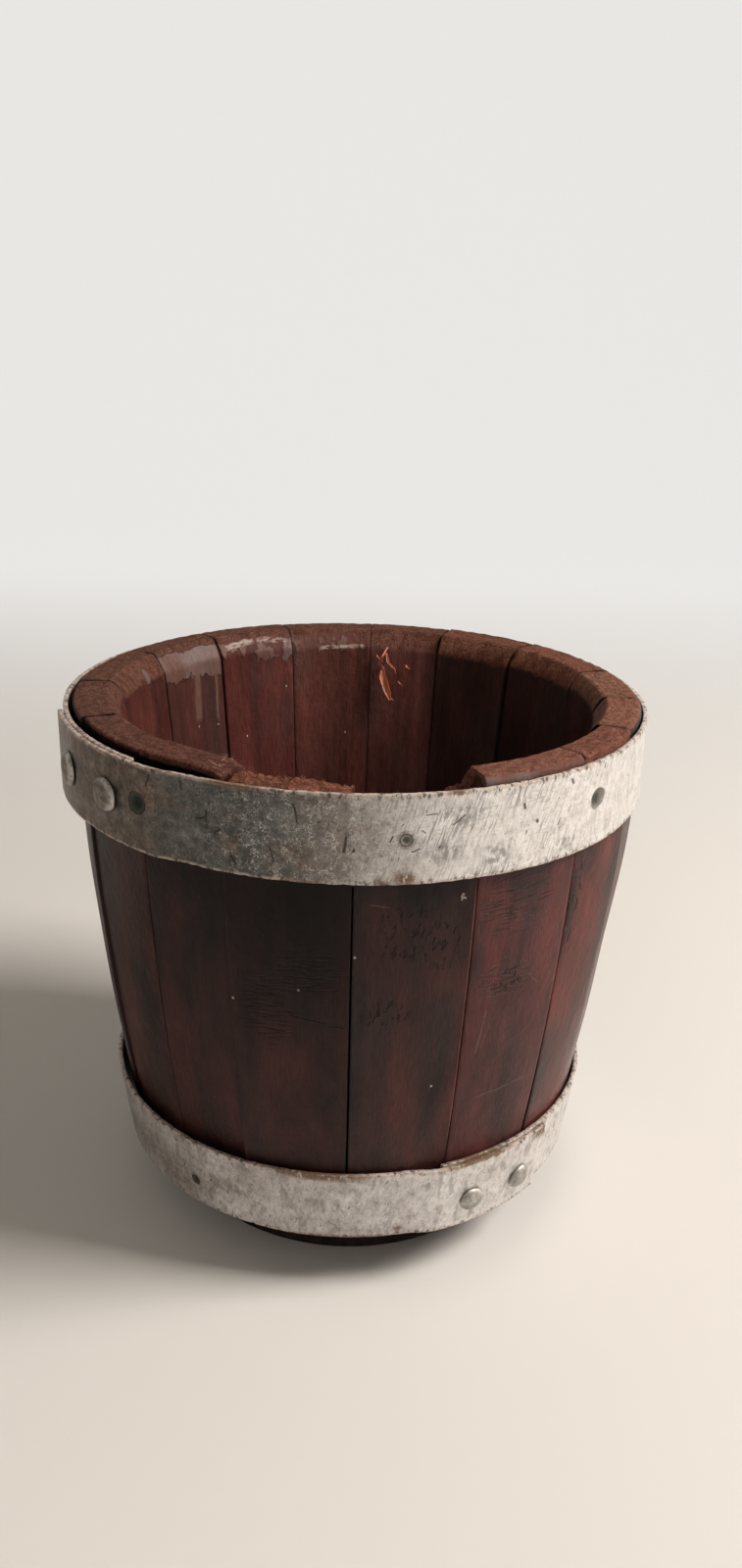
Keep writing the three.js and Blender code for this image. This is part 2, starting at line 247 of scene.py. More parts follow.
def stroke(tree, vector, start, end, width):
    run, rise = end[0] - start[0], end[1] - start[1]
    length = math.hypot(run, rise)
    lean = math.degrees(math.atan2(run, rise))
    place = spread(tree, vector, (width / 2, ANY_DEPTH, length), lean, (start[0], 0, start[1]))
    axes = axes_of(tree, place)
    aside = between(tree, calc(tree, "ABSOLUTE", axes["X"]), 1.0, 0.4)
    along = calc(tree, "ABSOLUTE", calc(tree, "SUBTRACT", axes["Z"], 0.5))
    return product(tree, aside, between(tree, along, 0.5, 0.40))


def spot(tree, vector, centre, half_width, half_height):
    place = spread(tree, vector, (half_width, ANY_DEPTH, half_height), 0, (centre[0], 0, centre[1]))
    away = vector_calc(tree, "LENGTH", {0: place}, "Value")
    return between(tree, away, 1.0, 0.35)


# %% [markdown]
# Colours are laid over each other in coats, each with a share from 0 to 1 that says where it covers.
# Relief is a chain of bumps, each with its own depth in millimetres.

# %% Helpers for colours and relief
def mix(tree, share, first, second, blend="MIX"):
    node = tree.nodes.new("ShaderNodeMix")
    node.data_type = "RGBA"
    node.blend_type = blend
    colours = [s for s in node.inputs if s.type == "RGBA"]
    for socket, value in ((node.inputs[0], share), (colours[0], first), (colours[1], second)):
        if isinstance(value, bpy.types.NodeSocket):
            tree.links.new(value, socket)
        else:
            socket.default_value = (*value, 1) if socket.type == "RGBA" else value
    return next(s for s in node.outputs if s.type == "RGBA")


def cover(tree, colour, coats):
    for share, paint in coats:
        colour = mix(tree, share, colour, paint)
    return colour


def ramp(tree, share, stops):
    node = put(tree, "ShaderNodeValToRGB", {"Fac": share})
    elements = node.color_ramp.elements
    while len(elements) < len(stops):
        elements.new(0.5)
    for element, (place, colour) in zip(elements, stops):
        element.position = place
        element.color = (*colour, 1)
    return node.outputs["Color"]


def bump(tree, height, depth_mm, below=None):
    inputs = {"Height": height, "Strength": 1.0, "Distance": depth_mm * MM}
    if below is not None:
        inputs["Normal"] = below
    return put(tree, "ShaderNodeBump", inputs).outputs["Normal"]


# %% [markdown]
# The wood was varnished dark red-brown and then used for years.
# Drawn on the coordinates of the room, the grain would run on from stave to stave as in one block.
# So each stave carries the coordinates that it had as a flat board: the grain runs up every stave and starts
# afresh at every joint.
# Single marks, such as a run of varnish or a scratch, are strokes from one place on the wall to another.

# %% Places on the boards
BOARD_STEP = (211.0, 37.0)


def on_board(angle_deg, height):
    turned = angle_deg if angle_deg >= FIRST_JOINT_DEG else angle_deg + 360
    number = next(n for n in range(1, len(joints)) if turned <= joints[n])
    middle = (joints[number - 1] + joints[number]) / 2
    across = math.radians(turned - middle) * RIM_RADIUS
    return across + BOARD_STEP[0] * number, height + BOARD_STEP[1] * number


RUNS = [((140.0, 230), (141.5, 197), 7.0), ((133.6, 226), (134.2, 195), 3.0)]
# White worn lines at the foot of the inner bevels, painted partly as glints of light.
WHITE_WEAR_AND_GLINTS = [((110.4, 232.4), (120.0, 233.6), 3.2), ((120.0, 233.6), (130.2, 231.6), 3.6),
              ((87.8, 228.8), (101.7, 227.9), 2.4)]
INNER_DOTS = [(141.6, 196), (134.3, 194.5), (125, 185.4), (111.6, 209), (93.6, 183)]
OUTER_DOTS = [(260.5, 152), (286.6, 105), (247.5, 143.4), (270.4, 168)]
SCRATCHES = [((296.5, 93.5), (310.7, 95.5), 0.7), ((296.9, 138), (295.4, 116), 0.9),
             ((298.2, 131), (296.6, 119), 0.6), ((306.0, 150), (309.0, 143), 0.5),
             ((272.6, 190), (276.5, 189), 0.6)]
CRACKS = [((258.5, 140.2), (265.8, 138), 0.7), ((266.2, 136.6), (269.0, 136.0), 0.7),
          ((314.9, 190), (315.2, 184), 0.9)]
CHALK = [((289.6, 192.8), (289.2, 189.4), 1.3), ((289.0, 191.6), (290.2, 190.2), 0.8)]
PALE_SEAM = [((291.80, 198), (291.80, 70), 0.6)]
CHATTER = [((301, 184), 23, 17), ((262, 160), 17, 14), ((254, 140), 14, 20), ((300, 150), 16, 14)]
DENTED = [((279, 178), 18, 18), ((286, 172), 12, 14), ((316, 176), 5, 26), ((301, 150), 9, 7),
          ((276, 142), 13, 10)]
RED_PATCHES = [((276, 184), 9, 16), ((297, 172), 7, 40), ((256, 88), 12, 30), ((281, 92), 10, 22),
               ((310, 150), 7, 40)]
print("single marks:", len(RUNS + WHITE_WEAR_AND_GLINTS + SCRATCHES + CRACKS + CHALK + PALE_SEAM))

# %% [markdown]
# A few clouds of noise are made once and handed round together, because colour, gloss and relief all read
# the same ones: where the wood looks worn it also has to feel worn.
# Depth in the board tells the outside from the redder inside.

# %% Patterns of the wood
INNER_SIDE = (11, 17)


def wood_patterns(tree):
    board = attribute(tree, "board", "Vector")
    depth = axes_of(tree, board)["Y"]
    inside = between(tree, depth, *INNER_SIDE)
    return SimpleNamespace(
        board=board,
        depth=depth,
        inside=inside,
        outside=calc(tree, "SUBTRACT", 1.0, inside),
        hand_drawn=shake(tree, board, 7, 1.6),
        tone=cloud(tree, board, (26, 26, 62), 4, 0.5, swirl=0.4),
        streak=cloud(tree, board, (7, 7, 190), 4, shift=(40, 0, 9)),
        fine=cloud(tree, board, (0.8, 0.8, 7), 4, 0.65),
        patch=cloud(tree, board, (40, 40, 60), 5, 0.6, shift=(5, 0, 77)),
        grit=cloud(tree, board, 0.9, 5, 0.7),
        coarse=cloud(tree, board, 5, 4, 0.6),
    )


def wall_strokes(tree, coordinates, lines):
    return largest(tree, [stroke(tree, coordinates, on_board(*a), on_board(*b), w) for a, b, w in lines])


def wall_spots(tree, wood, places):
    return largest(tree, [spot(tree, wood.board, on_board(*c), w, h) for c, w, h in places])


# %% [markdown]
# Varnish has darkened the outside more than the inside, in clouds and in streaks along the grain.
# The sawn ends on the rim are matt and paler, with open pores, and the torn ends show fresher wood.

# %% Colours of the wood
def varnished_colour(tree, wood):
    outer_figure = calc(tree, "ADD", product(tree, wood.tone, 0.75), product(tree, wood.streak, 0.25))
    inner_figure = calc(tree, "ADD", product(tree, wood.tone, 0.60), product(tree, wood.streak, 0.40))
    outer = ramp(tree, outer_figure, [(0.36, (0.0120, 0.0074, 0.0072)), (0.46, (0.0300, 0.0140, 0.0130)),
                                      (0.56, (0.0540, 0.0205, 0.0182)), (0.68, (0.0860, 0.0265, 0.0225))])
    inner = ramp(tree, inner_figure, [(0.34, (0.0400, 0.0148, 0.0128)), (0.47, (0.0670, 0.0222, 0.0188)),
                                      (0.58, (0.0930, 0.0300, 0.0250)), (0.72, (0.1350, 0.0480, 0.0375))])
    colour = mix(tree, wood.inside, outer, inner)
    ruddy = between(tree, wood.tone, 0.36, 0.56, 0.2, 0.45)
    reddened = product(tree, wood.outside, wall_spots(tree, wood, RED_PATCHES), ruddy)
    greyed = between(tree, wood.patch, 0.46, 0.68, 0, 0.40)
    colour = cover(tree, colour, [(reddened, (0.0880, 0.0250, 0.0215)), (greyed, (0.0520, 0.0370, 0.0345))])
    # The tone attribute is each stave's own tone with painted light and shade: lighter at the right, darker
    # at the left and under and behind the upper hoop, with painted light and shade on the inner wall.
    colour = mix(tree, 1.0, colour, attribute(tree, "tone_light_and_shade", "Color"), "MULTIPLY")
    shade = ramp(tree, wood.fine, [(0.30, (0.66, 0.66, 0.66)), (0.50, (1.0, 1.0, 1.0)),
                                   (0.72, (1.30, 1.28, 1.26))])
    return mix(tree, 1.0, colour, shade, "MULTIPLY")


def end_grain_colour(tree, wood):
    colour = ramp(tree, wood.grit, [(0.30, (0.040, 0.0170, 0.0115)), (0.48, (0.112, 0.0460, 0.0310)),
                                    (0.70, (0.230, 0.1180, 0.0850))])
    fresh = product(tree, attribute(tree, "fresh"), between(tree, wood.grit, 0.38, 0.60, 0.35, 0.9))
    colour = cover(tree, colour, [
        (between(tree, wood.coarse, 0.46, 0.64, 0, 0.6), (0.082, 0.031, 0.021)),
        (fresh, (0.255, 0.098, 0.064)),
    ])
    speckle = cloud(tree, wood.board, 3.4, 5, 0.65, shift=(8, 0, 21))
    pores = ramp(tree, speckle, [(0.34, (0.68, 0.66, 0.64)), (0.48, (0.96, 0.96, 0.96)),
                                 (0.64, (1.34, 1.36, 1.38))])
    colour = mix(tree, 1.0, colour, pores, "MULTIPLY")
    # Painted light: over their own tone, the ends are tinted lighter on the rim at the right and darker at
    # the left.
    return mix(tree, 1.0, colour, attribute(tree, "end_tone_and_light", "Color"), "MULTIPLY")


# %% [markdown]
# Use has left pale marks, such as chalk and drops, and carved ones: plane chatter, dents and scratches.
# Each kind is one function that gives back how strongly the mark shows at a place.

# %% Marks on the wood
DOT_SIZE = (0.7, 0.8)


# Pale patches on the inner bevels: worn, bare wood, together with a painted sheen of the varnish.
def worn_bare_and_sheen(tree, wood):
    bare_and_sheen = attribute(tree, "bare_and_sheen")
    uneven = cloud(tree, wood.board, (8, 8, 13), 4, 0.6, shift=(17, 0, 4))
    ragged = calc(tree, "ADD", bare_and_sheen, product(tree, calc(tree, "SUBTRACT", uneven, 0.5), 1.7))
    return product(tree, between(tree, ragged, 0.50, 0.58), between(tree, bare_and_sheen, 0.0, 0.25))


def varnish_runs(tree, wood):
    lines = wall_strokes(tree, wood.hand_drawn, RUNS)
    return product(tree, wood.inside, lines, between(tree, wood.grit, 0.30, 0.50, 0.45, 0.85))


def pale_marks(tree, wood):
    broken = between(tree, cloud(tree, wood.board, (6, 6, 1.6), 4, 0.7), 0.38, 0.60)
    # The white lines are wear and a painted glint.
    white = product(tree, wood.inside, wall_strokes(tree, wood.hand_drawn, WHITE_WEAR_AND_GLINTS), broken, 0.75)
    lines = wall_strokes(tree, wood.hand_drawn, CHALK)
    chalk = product(tree, wood.outside, lines, between(tree, wood.grit, 0.42, 0.50))
    dots = []
    for side, places in ((wood.inside, INNER_DOTS), (wood.outside, OUTER_DOTS)):
        dots.append(product(tree, side, wall_spots(tree, wood, [(c, *DOT_SIZE) for c in places])))
    dot = product(tree, largest(tree, dots), between(tree, wood.grit, 0.36, 0.48))
    return largest(tree, [white, chalk, dot])


def pale_seam(tree, wood):
    line = wall_strokes(tree, wood.board, PALE_SEAM)
    return product(tree, wood.outside, line, between(tree, wood.coarse, 0.34, 0.50, 0.25, 1))


def carved_marks(tree, wood):
    waves = cloud(tree, wood.hand_drawn, (11, 11, 1.1), 2, 0.5, turned_deg=-4)
    chatter = product(tree, wood.outside, wall_spots(tree, wood, CHATTER), between(tree, waves, 0.50, 0.60))
    lines = wall_strokes(tree, wood.hand_drawn, SCRATCHES)
    scratch = product(tree, wood.outside, lines, between(tree, wood.grit, 0.36, 0.50))
    dashes = cloud(tree, wood.hand_drawn, (1.9, 1.9, 4.6), 2, 0.5, turned_deg=8)
    dents = product(tree, wood.outside, between(tree, dashes, 0.55, 0.62), wall_spots(tree, wood, DENTED))
    cracks = product(tree, wood.outside, wall_strokes(tree, wood.hand_drawn, CRACKS))
    return chatter, scratch, largest(tree, [dents, cracks])


# %% [markdown]
# The finish is then built up in coats: varnished wood, bare ends, wear with a painted sheen and glints,
# stains, marks darkened as painted shade, and dirt with painted shade in the open cracks, each coat laid over
# the one before.
# The varnish is a thin clear coat, so that only the outside shines, and not the bare ends.

# %% Stave wood
def make_stave_wood():
    material, tree, shader = new_material("stave_wood")
    wood = wood_patterns(tree)
    end = attribute(tree, "end")
    fade = calc(tree, "ADD", end, product(tree, calc(tree, "SUBTRACT", wood.coarse, 0.5), 0.9))
    matt = between(tree, fade, 0.30, 0.62)
    worn_and_sheen = worn_bare_and_sheen(tree, wood)
    bared_and_sheen = mix(tree, between(tree, wood.tone, 0.42, 0.58), (0.150, 0.072, 0.056), (0.185, 0.128, 0.122))
    runs = varnish_runs(tree, wood)
    chatter, scratch, cuts = carved_marks(tree, wood)
    in_joint = between(tree, attribute(tree, "edge"), 1.2, 0.2)
    dirt = product(tree, in_joint, between(tree, wood.depth, *INNER_SIDE, 0.6, 0.3))
    crack = product(tree, attribute(tree, "crack"), between(tree, wood.coarse, 0.32, 0.46, 0.75, 1.0))
    colour = cover(tree, varnished_colour(tree, wood), [
        (matt, end_grain_colour(tree, wood)),
        # Bare wood, with a painted sheen on the inner bevels.
        (product(tree, worn_and_sheen, between(tree, wood.fine, 0.32, 0.6, 0.6, 0.9)), bared_and_sheen),
        (runs, (0.165, 0.090, 0.072)),
        # Pale marks: chalk, drops and white wear, the white wear partly a painted glint.
        (pale_marks(tree, wood), (0.50, 0.41, 0.37)),
        (product(tree, pale_seam(tree, wood), 0.75), (0.215, 0.085, 0.058)),
        # Chatter, dents and cracks are darkened in colour as painted shade in their relief.
        (product(tree, chatter, 0.7), (0.014, 0.008, 0.007)),
        (product(tree, scratch, 0.6), (0.210, 0.130, 0.112)),
        (product(tree, cuts, 0.85), (0.009, 0.006, 0.0055)),
        (dirt, (0.010, 0.0065, 0.006)),
        # The open cracks at the rim: dirt and painted shade.
        (crack, (0.008, 0.0055, 0.005)),
    ])
    feed(shader, "Base Color", colour)

    rough = between(tree, wood.patch, 0.35, 0.65, 0.38, 0.50)
    rough = calc(tree, "ADD", rough, product(tree, wood.fine, 0.06))
    rough = calc(tree, "MAXIMUM", rough, product(tree, matt, 0.95))
    rough = calc(tree, "SUBTRACT", rough, product(tree, largest(tree, [worn_and_sheen, runs]), 0.20))
    feed(shader, "Roughness", rough)
    shader.inputs["Specular IOR Level"].default_value = 0.12
    glossy = product(tree, attribute(tree, "gloss"), between(tree, wood.patch, 0.35, 0.65, 1.2, 0.7))
    varnish = product(tree, wood.outside, calc(tree, "SUBTRACT", 1.0, matt), glossy)
    feed(shader, "Coat Weight", varnish)
    shader.inputs["Coat Roughness"].default_value = 0.24
    shader.inputs["Coat IOR"].default_value = 1.35

    relief = bump(tree, wood.fine, 0.16)
    relief = bump(tree, wood.coarse, 0.50, relief)
    relief = bump(tree, product(tree, wood.grit, end), 0.8, relief)
    relief = bump(tree, largest(tree, [runs, worn_and_sheen]), 0.4, relief)
    carved = largest(tree, [cuts, product(tree, chatter, 0.6), product(tree, scratch, 0.3)])
    relief = bump(tree, calc(tree, "SUBTRACT", 1.0, carved), 0.8, relief)
    feed(shader, "Normal", relief)
    feed(shader, "Coat Normal", relief)
    return material


stave_wood = make_stave_wood()
print("stave wood nodes:", len(stave_wood.node_tree.nodes))


# %% [markdown]
# A stave starts as a flat board, as at the cooper's bench: a block, cut into fine rows and columns.
# Its corners are eased with a Bevel modifier while it is flat.
# Then the board is bent: a formula carries each point to its angle, radius and height in the wall.
# One ring could be spun and split, but then no joint could gape and no board could wear by itself.

# %% Helpers for pieces
def deselect():
    if bpy.context.mode != "OBJECT":
        bpy.ops.object.mode_set(mode="OBJECT")
    bpy.ops.object.select_all(action="DESELECT")


def activate(piece):
    deselect()
    piece.select_set(True)
    bpy.context.view_layer.objects.active = piece


def add_block(name, low, high):
    deselect()
    middle = [(a + b) / 2 * MM for a, b in zip(low, high)]
    size = [(b - a) * MM for a, b in zip(low, high)]
    bpy.ops.mesh.primitive_cube_add(size=1, location=middle, scale=size)
    bpy.ops.object.transform_apply(location=True, rotation=True, scale=True)
    piece = bpy.context.object
    piece.name = name
    return piece


def points_of(piece):
    values = np.empty(3 * len(piece.data.vertices))
    piece.data.vertices.foreach_get("co", values)
    return values.reshape(-1, 3) / MM


def place_points(piece, points):
    piece.data.vertices.foreach_set("co", (np.asarray(points) * MM).ravel())
    piece.data.update()


def roll_up(piece, radius, angle, height, centre=(0, 0)):
    east = centre[0] + radius * np.cos(angle)
    north = centre[1] + radius * np.sin(angle)
    place_points(piece, np.stack([east, north, height], 1))


def extrude(rise_mm):
    bpy.ops.mesh.extrude_region_move(TRANSFORM_OT_translate={"value": (0, 0, rise_mm * MM)})


def cut_rows(piece, axis, cuts):
    bpy.context.tool_settings.mesh_select_mode = (False, True, False)
    mesh = piece.data
    points = points_of(piece)
    ends = np.empty(2 * len(mesh.edges), dtype=np.int32)
    mesh.edges.foreach_get("vertices", ends)
    along = np.abs(points[ends[1::2]] - points[ends[0::2]])
    chosen = along[:, axis] > 0.99 * np.linalg.norm(along, axis=1)
    mesh.vertices.foreach_set("select", np.zeros(len(mesh.vertices), dtype=bool))
    mesh.polygons.foreach_set("select", np.zeros(len(mesh.polygons), dtype=bool))
    mesh.edges.foreach_set("select", chosen)
    bpy.ops.object.mode_set(mode="EDIT")
    bpy.ops.mesh.subdivide(number_cuts=cuts)
    bpy.ops.object.mode_set(mode="OBJECT")


def keep(piece, name, values):
    kind = "FLOAT_VECTOR" if np.ndim(values) == 2 else "FLOAT"
    data = piece.data.attributes.new(name, kind, "POINT").data
    flat = np.asarray(values, dtype=np.float32).ravel()
    data.foreach_set("vector" if kind == "FLOAT_VECTOR" else "value", flat)


def apply_modifier(piece, kind, **settings):
    activate(piece)
    modifier = piece.modifiers.new(kind.lower(), kind)
    for key, value in settings.items():
        setattr(modifier, key, value)
    bpy.ops.object.modifier_apply(modifier=modifier.name)


def ease_corners(piece, width_mm, segments=2, angle_deg=50):
    apply_modifier(piece, "BEVEL", width=width_mm * MM, segments=segments, limit_method="ANGLE",
                   angle_limit=math.radians(angle_deg))


def cut_with(piece, tool):
    apply_modifier(piece, "BOOLEAN", object=tool, operation="DIFFERENCE")
    bpy.data.objects.remove(tool, do_unlink=True)


def join_pieces(pieces, name):
    deselect()
    for piece in pieces:
        piece.select_set(True)
    bpy.context.view_layer.objects.active = pieces[0]
    bpy.ops.object.join()
    pieces[0].name = name
    return pieces[0]


def wander(points, size, seed):
    return np.array([noise.noise(Vector((x / size + seed, y / size, z / size))) for x, y, z in points])


def finish_piece(piece, node, material, smooth_deg=40):
    activate(piece)
    bpy.ops.object.mode_set(mode="EDIT")
    bpy.ops.mesh.select_all(action="SELECT")
    bpy.ops.mesh.normals_make_consistent(inside=False)
    bpy.ops.object.mode_set(mode="OBJECT")
    bpy.ops.object.shade_smooth_by_angle(angle=math.radians(smooth_deg))
    piece.data.materials.clear()
    piece.data.materials.append(material)
    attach(piece, "root")
    if node:
        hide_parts(node)
    return piece


# %% [markdown]
# Sixteen staves, counted from the right, each with its own height, width and wear.
# Inside, each stands a little proud of its neighbours or behind them.
# Two joints at the front have dried out and gape, and the tops of the two front staves are torn off.
# Such wear could be sculpted, but a table with a row for every stave can be read and corrected.

# %% Wear of the staves
# The groove for the bottom: its lower and upper edge and its depth.
CROZE = (38, 46, 6)
BEVEL_WIDTHS = [5, 5.5, 6, 6, 6, 6, 6, 5, 4, 4, 5, 5, 7, 6.5, 5, 4]
BEVEL_DEPTHS = [8, 9, 9, 9, 9, 10, 9, 6, 3.5, 3, 4, 4, 10, 10, 9, 8]
BEVEL_CROWNS = [1.2, 1.3, 1.2, 1.2, 1.2, 1.2, 1.3, 1.3, 1.2, 1.2, 1.2, 1.2, 1.05, 1.05, 1.25, 1.5]
OUTER_ROUNDS = [1.5, 1.6, 2, 2, 2, 2, 1.8, 1.3, 1.0, 1.0, 2.5, 2.5, 2.3, 1.2, 2.4, 2.6]
INNER_STEPS = [0.0, 1.2, -0.2, 0.5, 0.4, -0.4, 0.5, 0.6, 0.0, 0.3, 0.0, 0.4, 0.2, -0.2, 0.3, 0.1]
# Half the gap of a joint. A dried joint has one value at the top and one at the foot.
JOINT_GAP = 0.12
DRIED_JOINTS = {9: (0.03, 0.03), 10: (0.03, 0.03), 11: (0.22, 0.34), 12: (0.02, 0.02), 13: (0.02, 0.80)}
CLOSED_INSIDE = 0.9
INNER_GAPS = {1: 0.7, 2: 0.35, 5: 0.25, 6: 0.8, 8: 0.3}
INNER_GAP_HEIGHTS = (150, 205)
INNER_GAP_BELOW = 0.3
RIM_GAP_DROPS = (18, 8)
RIM_GAPS = {1: 0.3, 2: 0.3, 7: 0.3, 8: 0.5, 9: 0.25, 14: 0.25, 15: 0.25, 16: 0.25}
TORN = {11: 1.8, 12: 2.6}
TORN_RISE = {11: -1.2, 12: 6.0}
# A split end: how far it reaches along the top, and how deep it is.
SPLIT_ENDS = {10: (9, 3.0)}
FLATNESS = 0.35
WAVE_HEIGHT = 0.25
WAVE_LENGTH = 38
# A swelling below the upper hoop: its angle, its reach in degrees and how far it stands out.
SWOLLEN = (347, 24, 1.8)
SWOLLEN_FROM = (130, 180)
SWOLLEN_TO = (200, 194)
FLOOR_BLEND = (54, 80)


def joint_gap(number, height, depth):
    at_top, at_foot = DRIED_JOINTS.get(number, (JOINT_GAP, JOINT_GAP))
    dried = at_foot + (at_top - at_foot) * share_up(height)
    dried = dried * (1 - CLOSED_INSIDE * smooth_step(depth, 0.2, 0.6))
    share = INNER_GAP_BELOW + (1 - INNER_GAP_BELOW) * smooth_step(height, *INNER_GAP_HEIGHTS)
    opened = INNER_GAPS.get(number, 0) * smooth_step(depth, 0.4, 1.0) * share
    cracked = RIM_GAPS.get(number, 0) * smooth_step(RIM_HEIGHT - height, *RIM_GAP_DROPS)
    return dried + opened + cracked


def top_loss(number, x, y, half_width):
    place = np.stack([x, 1.3 * y, 0 * x], 1)
    loss = 0.7 * np.abs(wander(place, 8, 1.7 * number)) + 0.4 * np.abs(wander(place, 2.6, 2.9 * number))
    if number in TORN:
        ragged = wander(place, 2.2, 5.0 * number) + 0.8 * wander(place, 9, 3.0 * number)
        loss = loss + TORN[number] * np.clip(0.6 - ragged, 0, 1.6)
    if number in TORN_RISE:
        loss = loss - TORN_RISE[number] * smooth_step(x, 0.2 * half_width, half_width)
    if number in SPLIT_ENDS:
        length, deep = SPLIT_ENDS[number]
        loss = loss + deep * smooth_step(half_width - x, length, 0) * (0.7 + 0.6 * wander(place, 3, 8))
    return loss


print("torn staves:", sorted(TORN))

# %% [markdown]
# Tone, wear and painted light go with each stave as attributes, with one value at every point: how bare the
# wood is, with a painted sheen on the inner bevels, how near the joint is, how much of the end grain shows,
# and the tone with its painted light and shade.
# One wood then serves all sixteen staves, where a material for each would be the other way.

# %% Tones, wear and painted light of the staves
END_BEVELS = [0.9, 0.9, 0.6, 0.40, 0.30, 0.10, 0.75, 1, 1, 1, 1, 1, 0.8, 0.6, 0.5, 0.6]
# Outside: each stave's own tone with painted light. The staves at the right are made lighter and those at the
# left darker, as the light falls.
OUTER_TONE_LIGHT_AND_SHADE = [(1.2, 1.1, 1.1), (1.2, 1.1, 1.1), (1.1, 1.05, 1.0), (1.3, 1.1, 1.1), (1.0, 1.0, 1.0),
               (1.2, 1.1, 1.05), (1.0, 1.0, 1.0), (1.3, 1.2, 1.1), (1.25, 1.1, 0.95), (0.9, 0.85, 0.85),
               (0.85, 0.80, 0.80), (1.00, 1.08, 1.10), (1.62, 1.32, 1.38), (1.85, 1.2, 1.1),
               (1.5, 1.15, 1.05), (1.25, 1.1, 1.05)]
# Inside: each stave's own tone, with painted shade on the staves at the right and painted light on staves 3
# to 5 at the back.
INNER_TONE_LIGHT_AND_SHADE = [(0.5, 0.7, 0.7), (0.70, 1.0, 1.0), (2.2, 2.5, 2.6), (1.6, 1.65, 1.55), (1.5, 1.3, 1.3),
               (0.92, 1.0, 1.0), (1.0, 0.95, 0.9), (1.15, 1.0, 0.95), (1.0, 0.95, 0.9), (0.95, 0.95, 0.9),
               (1.1, 0.95, 0.9), (1.0, 1.0, 1.0), (0.9, 0.85, 0.85), (0.8, 0.8, 0.8),
               (0.7, 0.75, 0.75), (0.6, 0.7, 0.7)]
PLAIN_END = (1, 1, 1)
# End grain tints: the ends' own tone and painted light, lighter on the rim at the right and darker at the
# left.
END_TONE_AND_LIGHT = {1: (1.45, 1.3, 1.25), 2: (1.2, 1.1, 1.05), 3: (1.05, 1.0, 1.0), 8: (0.95, 0.95, 1.0),
             9: (0.95, 0.92, 0.95), 10: (0.95, 0.88, 0.92), 13: (1.65, 1.6, 1.65), 14: (1.5, 1.4, 1.4),
             15: (1.75, 1.75, 1.7), 16: (1.65, 1.75, 1.7)}
GLOSS = [0.3, 0.3, 0.2, 0.2, 0.2, 0.2, 0.15, 0.1, 0.08, 0.08, 0.1, 0.2, 0.22, 0.12, 0.25, 0.35]
LOW_SHINE = {14: 2.2, 15: 1.0}
LOW_SHINE_HEIGHTS = (150, 85)
# Painted shade in the gap behind the upper hoop. Between these heights the outer face is darkened. On the
# staves in the next table it is darkened from that drop below the top, so the lip of the rim shows a dark
# line.
HOOP_SHADE_HEIGHTS = (198, 235)
GAP_SHADE_DARKNESS = 0.85
SHADED_LIP_DROPS = {8: 0.4, 9: 1.4, 10: 2.6, 15: 0.4, 16: 0.4}
GRAIN_OUTSIDE = (14,)
# Joints whose open cracks at the rim are darkened: dirt, and painted shade inside the gap.
DIRTY_SHADED_CRACKS = (7, 8, 14, 15, 16)
# How bare each inner bevel is. The same pale colour also paints a sheen of light on it.
BARE_AND_SHEEN_BEVELS = {4: 0.45, 5: 0.55, 6: 1.05, 7: 0.30}
BARE_OUTER_EDGE = {13: 0.9}
# Painted shade on the outside of the staves below the upper hoop, by stave.
SHADE_BELOW_HOOP = {8: 0.3, 9: 0.35, 10: 0.6, 11: 0.7, 12: 0.35}
# A red edge: how far it reaches from the joint, and how strong it is.
RED_EDGES = {12: (12, 1.35), 13: (3, 1.2)}
TIGHT_ABOVE = {9: 0, 10: 0, 12: 0, 13: 125}
NEVER = 999


